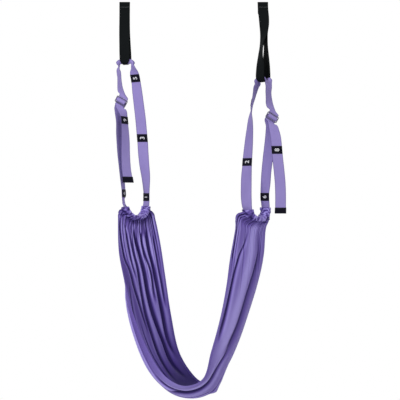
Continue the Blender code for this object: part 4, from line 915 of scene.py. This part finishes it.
def makeLoop(side):
    place = loopPlaces[side]
    loop, tail = makeRoute(loopRoutes[side]), makeRoute(tailRoutes[side])
    crown = float(loop["stops"][np.argmax(loop["rows"][:, 2])])
    bottom = routeAtHeight(loop, place["casing"], loop["length"] * 0.3)
    low, high = bottom - casingHalfLength, bottom + casingHalfLength
    climb = routeAtHeight(loop, place["climb"], 0.0, crown)
    seam = routeAtHeight(loop, place["joint"], crown, low)
    # inside the slider the webbing runs on from the loop's start to the tail; its sewn end meets the loop's end
    lies = sliderLies[side]
    thread = makeRoute([loopRoutes[side][0][:3] + lies, *threadRoutes[side], tailRoutes[side][0][:3] + lies])
    sewn = makeRoute([*sewnRoutes[side], loopRoutes[side][-1][:3] + lies])

    leg = {**webbing, "shadeStretches": loopShadeStretches[side]}
    parts = [("ShortLeg", loop, 0.0, climb, leg), ("Front", loop, climb, seam, leg),
             ("Rear", loop, seam, loop["length"], leg), ("Thread", thread, 0.0, thread["length"], sliderWebbing),
             ("SewnEnd", sewn, 0.0, sewn["length"], sliderWebbing),
             ("Tail", tail, 0.0, tail["length"] - tabSleeve["tuck"], webbing)]
    short, front, rear, threaded, sewnEnd, hanging = [
        layWebbing(f"webbing{part}_{side}", *run, "lilac") for part, *run in parts]
    attach(rear, "lilac_webbing", "sling_unit", f"webbing_back_{side}")
    attach(threaded, "lilac_webbing", "sling_unit", f"webbing_thread_{side}")
    attach(sewnEnd, "lilac_webbing", "sling_unit", f"webbing_sewn_end_{side}")
    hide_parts(f"webbing_short_leg_{side}")
    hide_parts(f"webbing_link_{side}", f"webbing_long_leg_{side}")
    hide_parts(f"webbing_tail_{side}")
    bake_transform(short)
    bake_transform(front)
    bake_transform(hanging)
    makeTab(side, tail)

    # the webbing's face that carries a leg's labels is the one its lowest label shows to the front
    legs = {"front": (loop, crown, low, -1.0), "rear": (loop, high, None, 1.0), "tail": (tail, 0.0, None, -1.0)}
    faces = {leg: facing(legs[leg][0], routeAtHeight(legs[leg][0], height, *legs[leg][1:3]))
             for _, leg, height, _, _ in labels[side]}
    for digit, leg, height, body, number in labels[side]:
        route, first, last, riseWay = legs[leg]
        middle = routeAtHeight(route, height, first, last)
        makeLabel(side, route, middle, digit, body, number, riseWay, faces[leg])
    repaint(f"slider_{side}", "metal")
    return loop, low, high


# casings: ruched sleeves of the sling's own cloth, gathered on the webbing
casing = {
    "halfWidth": 0.0208, "halfDepth": 0.0125, "flare": 0.0003, "restGap": 0.0006, "mouthGap": 0.0012,
    "webThickness": 0.0018, "thickness": 0.0010, "frill": 0.0005, "overhang": 0.001, "rows": 230, "columns": 72,
    "ruffles": {"left": 9, "right": 7}, "ruffleDepth": {"left": 0.0010, "right": 0.0021},
    "seed": {"left": 2.0, "right": 6.0}, "clothRound": 0.09,
    "shade": 0.60, "ridgeShade": 1.2, "fineShade": 0.8, "underShade": 0.9, "creaseShade": 0.8,
}
# soft lumps of bunched cloth: share along, share round, how far they stand out, their reach along and round
casingLumps = {
    "left": [(0.06, 0.75, 0.003, 0.07, 0.14), (0.93, 0.75, 0.005, 0.07, 0.16)],
    "right": [(0.80, 0.70, 0.010, 0.050, 0.10), (0.70, 0.82, 0.013, 0.045, 0.11), (0.90, 0.60, 0.003, 0.05, 0.08),
              (0.06, 0.75, 0.004, 0.08, 0.16)],
}


def makeCasing(side, loop, low, high):
    bm, row, column = gridOf(casing["rows"], casing["columns"])
    across, beyond = column / casing["columns"], casing["overhang"]
    s = low - beyond + row / casing["rows"] * (high - low + 2 * beyond)
    share = (s - low) / (high - low)
    angle, seed = 2 * math.pi * across, casing["seed"][side]
    _, width, out, _ = routeFrames(loop, s)
    centre = onRoute(loop, s, 0.0, 0.0)
    inward = float(np.sign(out[:, 2].sum()))

    def clouds(size, rate, start=seed):
        return cloudy(np.cos(angle) * size, np.sin(angle) * size, share * rate + start)

    # soft uneven ruffles with fine creases between them, calmer at the middle and at the mouths
    depth, ends = casing["ruffleDepth"][side], np.abs(2 * share - 1)
    wave = np.sin(2 * math.pi * (casing["ruffles"][side] * share + 1.3 * clouds(0.8, 4.0)))
    strong = np.clip(0.55 + 0.9 * clouds(1.3, 9.0), 0.1, 1)
    ridge = 0.5 + 0.5 * wave * strong * (0.35 + 0.65 * ends)
    fine = clouds(1.6, 26, 3 * seed)
    ruche = (depth * (2 * ridge - 1) + 0.45 * depth * fine) * (1 - 0.8 * ends**10)
    mouth = ends**5
    flare = casing["flare"] * mouth * (1 + 0.5 * np.sin(5 * angle + seed))
    frill = casing["frill"] * np.clip(mouth - 0.55, 0, 1) * np.sin(9 * angle + 2.0 * seed)
    rest = (casing["webThickness"] + casing["thickness"]) / 2 + casing["restGap"]
    seat = rest + casing["mouthGap"] * ends**2 + 1.3 * depth + ruche + np.abs(frill)
    # each lump has a painted shade crease round it
    lump, crease = np.zeros_like(s), np.zeros_like(s)
    for middle, turn, stand, reach, wide in casingLumps[side]:
        far = np.hypot((share - middle) / reach, ((across - turn + 0.5) % 1.0 - 0.5) / wide)
        lump += stand * bell(far, 0.0, 1.0)
        crease = np.maximum(crease, stand / 0.012 * bell(far, 1.3, 0.3))
    # the side that rests on the webbing's inner face is flat, the other is rounded
    sideways = (casing["halfWidth"] + ruche + flare + frill + lump * 0.5) * np.cos(angle)
    rounded = (casing["halfDepth"] + ruche + frill + lump) * np.sin(angle)
    lift = np.where(np.sin(angle) > 0, seat * np.clip(6.0 * np.sin(angle), 0, 1), rounded)
    placeVerts(bm, centre + width * sideways[:, None] + out * (inward * lift)[:, None])
    mapUv(bm, "cloth", across * casing["clothRound"], s)
    # painted shade: lighter on the ruffles' ridges, darker on the tube's underside and in the creases round the
    # lumps
    under = np.clip(-np.sin(angle) - 0.55, 0, 1)
    shade = casing["shade"] + casing["ridgeShade"] * (ridge - 0.5) + casing["fineShade"] * fine
    shade = shade - casing["underShade"] * under - casing["creaseShade"] * crease
    keepMask(bm, "foldShade", np.clip(shade, 0, 1))
    keepMask(bm, "hemShade", np.zeros_like(s))
    closeUp(bm, 1e-5)
    piece = thicken(pieceFrom(f"slingCasing_{side}", bm, "sling"), casing["thickness"])
    return attach(piece, "sling_cloth", "sling_unit", f"sling_casing_{side}")


# the sling's cloth
sling = {
    "tops": (-0.762, -0.779), "halfSpan": 0.25, "casingReach": 0.0105, "seamInset": 0.003,
    "rows": 236, "columns": 196, "crowding": 0.80, "thickness": 0.0011, "drape": 0.0009,
    "gathers": 31, "gatherDepth": 0.0019, "gatherLength": 0.040, "cornerRuche": 0.0038,
    "hemShare": 0.030, "hemBlur": 0.004, "stitchShare": 0.0273, "fullness": 0.8,
    # how folds begin and end along their way, their crest, and how thin folds start, end and spread
    "foldFades": (0.18, 0.30), "foldCrest": 1.6, "thinFades": (0.008, 0.4), "thinSpread": (0.6, 5.0),
    # share along, near hem, far hem, hang, way of hanging, deepest place
    "sections": [
        (0.018, (-0.0157, -0.127, -0.014), (0.0953, -0.036, -0.006), 0.044, 90, 1.0),
        (0.052, (-0.0358, -0.138, 0.028), (0.0872, -0.0345, 0.02), 0.032, 80, 1.0),
        (0.095, (-0.0535, -0.156, 0.118), (0.0815, -0.031, 0.098), 0.014, 10, 0.9),
        (0.16, (-0.061, -0.188, 0.226), (0.068, -0.028, 0.222), 0.026, 14, 0.8),
        (0.24, (-0.07, -0.218, 0.334), (0.049, -0.025, 0.36), 0.04, 24, 0.7),
        (0.32, (-0.061, -0.243, 0.444), (0.0365, -0.022, 0.488), 0.049, 46, 0.65),
        (0.405, (-0.045, -0.262, 0.526), (0.0485, -0.02, 0.576), 0.056, 66, 0.7),
        (0.48, (-0.02, -0.268, 0.556), (0.053, -0.019, 0.6), 0.048, 90, 0.8),
        (0.555, (0.005, -0.263, 0.532), (0.067, -0.019, 0.582), 0.039, 112, 0.85),
        (0.635, (-0.0085, -0.248, 0.446), (0.067, -0.02, 0.496), 0.034, 138, 0.9),
        (0.72, (-0.0215, -0.223, 0.344), (0.068, -0.023, 0.386), 0.035, 155, 0.9),
        (0.81, (-0.043, -0.188, 0.23), (0.069, -0.027, 0.252), 0.024, 165, 0.95),
        (0.9, (-0.0715, -0.155, 0.12), (0.052, -0.031, 0.124), 0.013, 172, 1.0),
        (0.95, (-0.08, -0.139, 0.032), (0.034, -0.034, 0.034), 0.02, 100, 1.0),
        (0.982, (-0.0885, -0.129, -0.018), (0.03, -0.04, -0.006), 0.036, 90, 1.0),
    ],
}
# painted shade on the cloth: shares of the way from valley to ridge on the lit outside and the shaded inside, and
# the fold heights that shift them
slingShade = {
    "outside": 0.57, "inside": 0.36, "foldDepth": 0.0085, "fineDepth": 0.0017, "blurSteps": 18, "blurReach": 7.0,
    # painted shade close under the casings, and stronger painted fold shade beside the left one: strength,
    # middle, reach
    "under": (0.36, 0.012, 0.014), "leftFolds": (0.8, 0.08, 0.09),
    # fainter painted fold shade towards the right: strength, where it starts and is full
    "rightFolds": (-0.3, 0.60, 0.68),
    # the painted highlight band outside: strength, width, where it starts and is full, and its way over the cloth
    "band": (0.47, 0.10, 0.58, 0.68),
    "bandWay": ((0.55, 0.65, 0.75, 0.85, 0.90, 0.97), (0.12, 0.15, 0.24, 0.40, 0.48, 0.55)),
    # painted shade deep inside the sling, and painted highlights where the cloth is lit and along its brim:
    # strength, then how each spot lies along and across the cloth
    "deepShadeSpots": [(0.35, bell, (0.43, 0.085), ramp, (0.40, 0.70)),
                  (0.15, bell, (0.055, 0.05), bell, (0.62, 0.25))],
    "litSpots": [(0.30, bell, (0.46, 0.10), bell, (0.0, 0.09))],
    "brimHighlightSpots": [(0.24, ramp, (0.42, 0.32), bell, (0.0, 0.09)),
                  (0.13, bell, (0.27, 0.09), bell, (0.5, math.inf))],
}
# folds: how far out the cloth goes (in at the right, where its outside shows), the fold's width as
# a share across, and its way over the cloth as (share along, share across)
slingFolds = [
    (0.0085, 0.03, [(0.03, 0.04), (0.06, 0.075), (0.095, 0.163), (0.118, 0.219), (0.135, 0.306), (0.17, 0.388),
        (0.212, 0.494), (0.253, 0.545), (0.29, 0.57)]),
    (0.006, 0.02, [(0.04, 0.181), (0.07, 0.275), (0.098, 0.338), (0.122, 0.375), (0.158, 0.456)]),
    (0.0095, 0.03, [(0.055, 0.331), (0.085, 0.4), (0.105, 0.444), (0.14, 0.519), (0.165, 0.537), (0.22, 0.581),
        (0.268, 0.62), (0.318, 0.644), (0.367, 0.669), (0.393, 0.706)]),
    (0.014, 0.04, [(0.043, 0.444), (0.065, 0.475), (0.085, 0.525), (0.12, 0.606), (0.14, 0.644),
        (0.188, 0.681), (0.228, 0.725), (0.26, 0.769), (0.285, 0.806), (0.348, 0.825), (0.4, 0.9)]),
    (0.0095, 0.024, [(0.06, 0.64), (0.095, 0.656), (0.12, 0.706), (0.138, 0.76), (0.19, 0.788), (0.215, 0.8)]),
    (0.0125, 0.034, [(0.055, 0.755), (0.083, 0.765), (0.11, 0.785), (0.143, 0.838), (0.17, 0.856),
        (0.23, 0.888), (0.275, 0.89), (0.34, 0.93)]),
    (0.0055, 0.018, [(0.075, 0.894), (0.105, 0.9), (0.13, 0.91), (0.185, 0.94), (0.23, 0.95)]),
    (-0.0065, 0.018, [(0.985, 0.06), (0.943, 0.045), (0.912, 0.05), (0.88, 0.05)]),
    (-0.009, 0.026, [(0.968, 0.381), (0.927, 0.31), (0.902, 0.21), (0.875, 0.16), (0.835, 0.112),
        (0.797, 0.085), (0.768, 0.07), (0.72, 0.055), (0.66, 0.048)]),
    (-0.0105, 0.075, [(0.965, 0.69), (0.93, 0.765), (0.895, 0.77), (0.86, 0.705), (0.825, 0.61), (0.79, 0.52),
        (0.75, 0.44), (0.7, 0.365), (0.628, 0.275)]),
    (-0.015, 0.036, [(0.42, 0.09), (0.47, 0.11), (0.515, 0.12), (0.56, 0.135), (0.6, 0.2), (0.64, 0.3),
        (0.67, 0.36)]),
    (-0.006, 0.03, [(0.38, 0.33), (0.45, 0.35), (0.52, 0.4), (0.58, 0.47), (0.62, 0.52)]),
    (0.007, 0.018, [(0.15, 0.1), (0.23, 0.115), (0.31, 0.125), (0.37, 0.15), (0.41, 0.19)]),
    (-0.0065, 0.018, [(0.34, 0.17), (0.4, 0.205), (0.46, 0.24), (0.52, 0.28), (0.56, 0.33)]),
    (-0.005, 0.014, [(0.36, 0.26), (0.42, 0.3), (0.47, 0.33)]),
    (0.005, 0.018, [(0.16, 0.24), (0.22, 0.29), (0.29, 0.34), (0.35, 0.4)]),
    (-0.004, 0.02, [(0.56, 0.56), (0.61, 0.62), (0.66, 0.68), (0.72, 0.72)]),
    (0.0045, 0.011, [(0.2, 0.05), (0.28, 0.066), (0.36, 0.08), (0.44, 0.095), (0.5, 0.115)]),
    (-0.005, 0.011, [(0.37, 0.045), (0.44, 0.06), (0.51, 0.075), (0.57, 0.11), (0.64, 0.18)]),
    (0.004, 0.01, [(0.27, 0.19), (0.33, 0.23), (0.39, 0.29), (0.45, 0.34)]),
    (0.004, 0.01, [(0.24, 0.42), (0.3, 0.48), (0.36, 0.56), (0.42, 0.62)]),
]
# thin folds that run down from a casing: ranges of depth, width as a share across, and reach as a share along
thinRanges = ((0.0016, 0.0034), (0.006, 0.012), (0.07, 0.24))
# the belly's lower right corner, pulled out to a point, and the cloth drawn in above it:
# share along, share across, reach along, reach across, depth
belly = [(0.545, 0.57, 0.012, 0.12, 0.008), (0.600, 0.76, 0.024, 0.14, -0.005)]
# how the folds at the left slant over to the far hem, as shares along and across
drift = ((0.0, 0.03, 0.06, 0.095, 0.118, 0.135, 0.17, 0.212, 0.253, 0.40),
         (0.0, 0.01, 0.045, 0.133, 0.189, 0.276, 0.358, 0.464, 0.515, 0.62))
# cloth pushed together across the corners beside each casing: share across, reach
corners = ((0.0, 0.22), (1.0, 0.14))


def sectionPoints(section, v):
    share, near, far, hang, way, deepest = section
    x = sling["halfSpan"] * (2 * share - 1)
    top = sling["tops"][0] + (sling["tops"][1] - sling["tops"][0]) * share
    a = np.array([x + near[0], near[1], top - near[2]])
    b = np.array([x + far[0], far[1], top - far[2]])
    out = np.array([-math.cos(math.radians(way)), 0.0, -math.sin(math.radians(way))])
    v = np.asarray(v, float)[:, None]
    return a + (b - a) * v + out * hang * np.sin(np.pi * v**deepest) ** sling["fullness"]


def underCasing(loop, s):
    out = routeFrames(loop, s)[2]
    return onRoute(loop, s, 0.0, 0.0) - out * np.sign(out[:, 2].sum()) * sling["casingReach"]


def slingSurface(u, v, ends):
    inset = sling["seamInset"]
    leftLoop, leftLow, leftHigh = ends["left"]
    rightLoop, rightLow, rightHigh = ends["right"]
    first = underCasing(leftLoop, leftHigh - inset + (leftLow - leftHigh + 2 * inset) * v)
    last = underCasing(rightLoop, rightLow + inset + (rightHigh - rightLow - 2 * inset) * v)
    rows = [first, *(sectionPoints(section, v) for section in sling["sections"]), last]
    stops = [0.0, *(section[0] for section in sling["sections"]), 1.0]
    base = smoothRows(stops, np.array(rows), u)
    alongWay, acrossWay = unitRows(np.gradient(base, axis=0)), unitRows(np.gradient(base, axis=1))
    return base, unitRows(np.cross(acrossWay, alongWay))


def foldShift(u, v):
    shift, (rise, fall) = np.zeros((len(u), len(v))), sling["foldFades"]
    for depth, width, way in slingFolds:
        at, middle = np.array(sorted(way)).T
        line = smoothRows(at, middle[:, None], np.clip(u, at[0], at[-1]))
        run = (u - at[0]) / (at[-1] - at[0])
        hold = np.clip(np.minimum(run / rise, (1 - run) / fall), 0, 1)
        hold = hold**2 * (3 - 2 * hold)
        off = np.abs(v[None, :] - line) / width
        shift += depth * hold[:, None] * np.exp(-off ** sling["foldCrest"])
    return shift


def thinFolds(seed, count, low, high):
    dice = np.random.default_rng(seed)
    middles = np.sort(dice.uniform(low, high, count))
    return [(middle, *[dice.uniform(*limits) for limits in thinRanges]) for middle in middles]


leftThin, rightThin = thinFolds(4, 20, 0.03, 0.95), thinFolds(9, 17, 0.04, 0.96)


def gatherShift(u, v):
    # fine gathers that fade away from each casing; u runs down the rows, v across the columns
    u, v = u[:, None], v[None, :]
    away = np.minimum(u, 1 - u)
    fade = np.exp(-((away / sling["gatherLength"]) ** 1.3)) * ramp(away, 0, 0.004)
    pleats = 2.2 * cloudy(v * sling["gathers"], u * 12, 3.1)
    pleats += 0.8 * cloudy(v * sling["gathers"] * 2.1, u * 20, 8.4)
    shift = sling["gatherDepth"] * fade * np.clip(pleats, -1.2, 1.2)
    slant = np.interp(u, *drift)
    (start, full), (least, spread) = sling["thinFades"], sling["thinSpread"]
    for folds, way, run in ((leftThin, 1, u), (rightThin, -1, 1 - u)):
        for middle, depth, width, reach in folds:
            hold = ramp(run, 0, start) * ramp(run, reach, full * reach)
            line = middle + (1 - middle) * slant if way > 0 else middle - 0.5 * middle * run
            shift += way * depth * hold * bell(v, line, width * (least + spread * run))
    ruche = cloudy(v * 6, u * 150, 5.0) + 0.5 * cloudy(v * 15, u * 260, 1.0)
    for edge, reach in corners:
        shift += sling["cornerRuche"] * bell(v, edge, reach) * bell(away, 0.018, 0.017) * ruche
    for along, across, reachAlong, reachAcross, depth in belly:
        shift += depth * bell(u, along, reachAlong) * bell(v, across, reachAcross)
    return shift


def shadeSling(u, v, broad, folds):
    # the painted shade of each side, and how far the folds shift it: a fold's height against the cloth around it
    look, steps = slingShade, slingShade["blurSteps"]
    blur = bell(np.arange(-steps, steps + 1), 0, look["blurReach"])
    padded = np.pad(folds, ((0, 0), (steps, steps)), "edge")
    around = np.stack([np.convolve(row, blur / blur.sum(), "valid") for row in padded])
    shift = broad / (2 * look["foldDepth"]) + (folds - around) / (2 * look["fineDepth"])
    u, v = u[:, None], v[None, :]
    (left, *leftPlace), (right, *rightPlace) = look["leftFolds"], look["rightFolds"]
    shift = shift * (1 + left * bell(u, *leftPlace) + right * ramp(u, *rightPlace))
    # painted shade where little light gets in, inside the sling at its bottom and close under the casings, and
    # painted highlights on the lit spots, the brim and the bright band
    deep, lit, brim = [sum(strength * lies(u, *along) * spans(v, *across) for strength, lies, along, spans, across
                           in look[spots]) for spots in ("deepShadeSpots", "litSpots", "brimHighlightSpots")]
    under, *underPlace = look["under"]
    under = under * bell(np.minimum(u, 1 - u), *underPlace)
    strength, wide, start, full = look["band"]
    lit = lit + strength * bell(v, np.interp(u, *look["bandWay"]), wide) * ramp(u, start, full)
    return look["outside"] + lit - under, look["inside"] - deep + brim - under, shift


hemStitch = {"length": 0.0025, "width": 0.0007, "height": 0.0019, "pitch": 0.0036, "start": 0.012}


def sewHem(edge, line, rises):
    places = runAlong(line)
    at = np.arange(hemStitch["start"], places[-1] - hemStitch["start"], hemStitch["pitch"])
    points, ups = [np.stack([np.interp(at, places, values[:, axis]) for axis in range(3)], axis=1)
                   for values in (line, rises)]
    ways = np.gradient(points, axis=0)
    seam = sewRun(f"slingHemStitches_{edge}", points, ways, ups, hemStitch, "lilacThread")
    return attach(seam, "tack_thread", "sling_unit")


def makeSling(ends):
    t = np.linspace(0, 1, sling["rows"] + 1)
    u = t - sling["crowding"] / (2 * math.pi) * np.sin(2 * math.pi * t)
    v = np.linspace(0, 1, sling["columns"] + 1)
    base, outward = slingSurface(u, v, ends)
    broad = foldShift(u, v)
    folds = broad + gatherShift(u, v) + sling["drape"] * cloudy((u * 9)[:, None], v[None, :] * 3.5, 1.7)
    surface = base + outward * folds[:, :, None]
    bm, row, column = gridOf(sling["rows"], sling["columns"])
    placeVerts(bm, surface[row, column])
    across = np.array([runAlong(points) for points in surface])
    along = runAlong(surface[:, len(v) // 2])
    mapUv(bm, "cloth", across[row, column], along[row])
    area = sum(face.calc_area() for face in bm.faces)
    flatWidth, flatLength = float(across[:, -1].max()), float(along[-1])
    print("sling cloth area", round(area, 4), "widest", round(flatWidth, 4), "length", round(flatLength, 4))
    piece = thicken(pieceFrom("slingCloth", bm, "sling"), sling["thickness"])

    # the wall's first half is one side of the sheet, in the grid's own order, and the rest the other
    place = np.array([vertex.co for vertex in piece.data.vertices])
    count = len(row)
    firstIsOut = ((place[:count] - surface[row, column]) * outward[row, column]).sum() > 0
    outside = (np.arange(len(place)) < count) == firstIsOut
    outer, inner, shift = [np.resize((part + 0 * broad)[row, column], len(place))
                           for part in shadeSling(u, v, broad, folds)]
    hem = np.clip((sling["hemShare"] - np.minimum(v, 1 - v)) / sling["hemBlur"], 0, 1)
    # foldShade paints shade and highlights: the outside lighter than the inside, each fold's valley dark and its
    # ridge light
    masks = {"foldShade": np.clip(np.where(outside, outer + shift, inner - shift), 0, 1),
             "hemShade": np.resize(hem[column], len(place))}
    for name, values in masks.items():
        layer = piece.data.attributes.new(name, "FLOAT", "POINT")
        layer.data.foreach_set("value", values.astype(np.float32))
    attach(piece, "sling_cloth", "sling_unit", "sling_cloth")
    seams = []
    for edge, share in (("near", sling["stitchShare"]), ("far", 1 - sling["stitchShare"])):
        k = int(round(share * sling["columns"]))
        seams.append(sewHem(edge, surface[:, k], outward[:, k]))
    return piece, seams, (flatWidth, flatLength), area


# the whole
setUpView()
setUpWorld()
layFloor()
print("camera, light and floor set")
ends = {}
for side in ("left", "right"):
    makeAnchor(side)
    ends[side] = makeLoop(side)
    print("straps laid:", side)
casings = [makeCasing(side, *ends[side]) for side in ("left", "right")]
print("casings gathered")
cloth, seams, flatSize, clothArea = makeSling(ends)
print("sling hung")
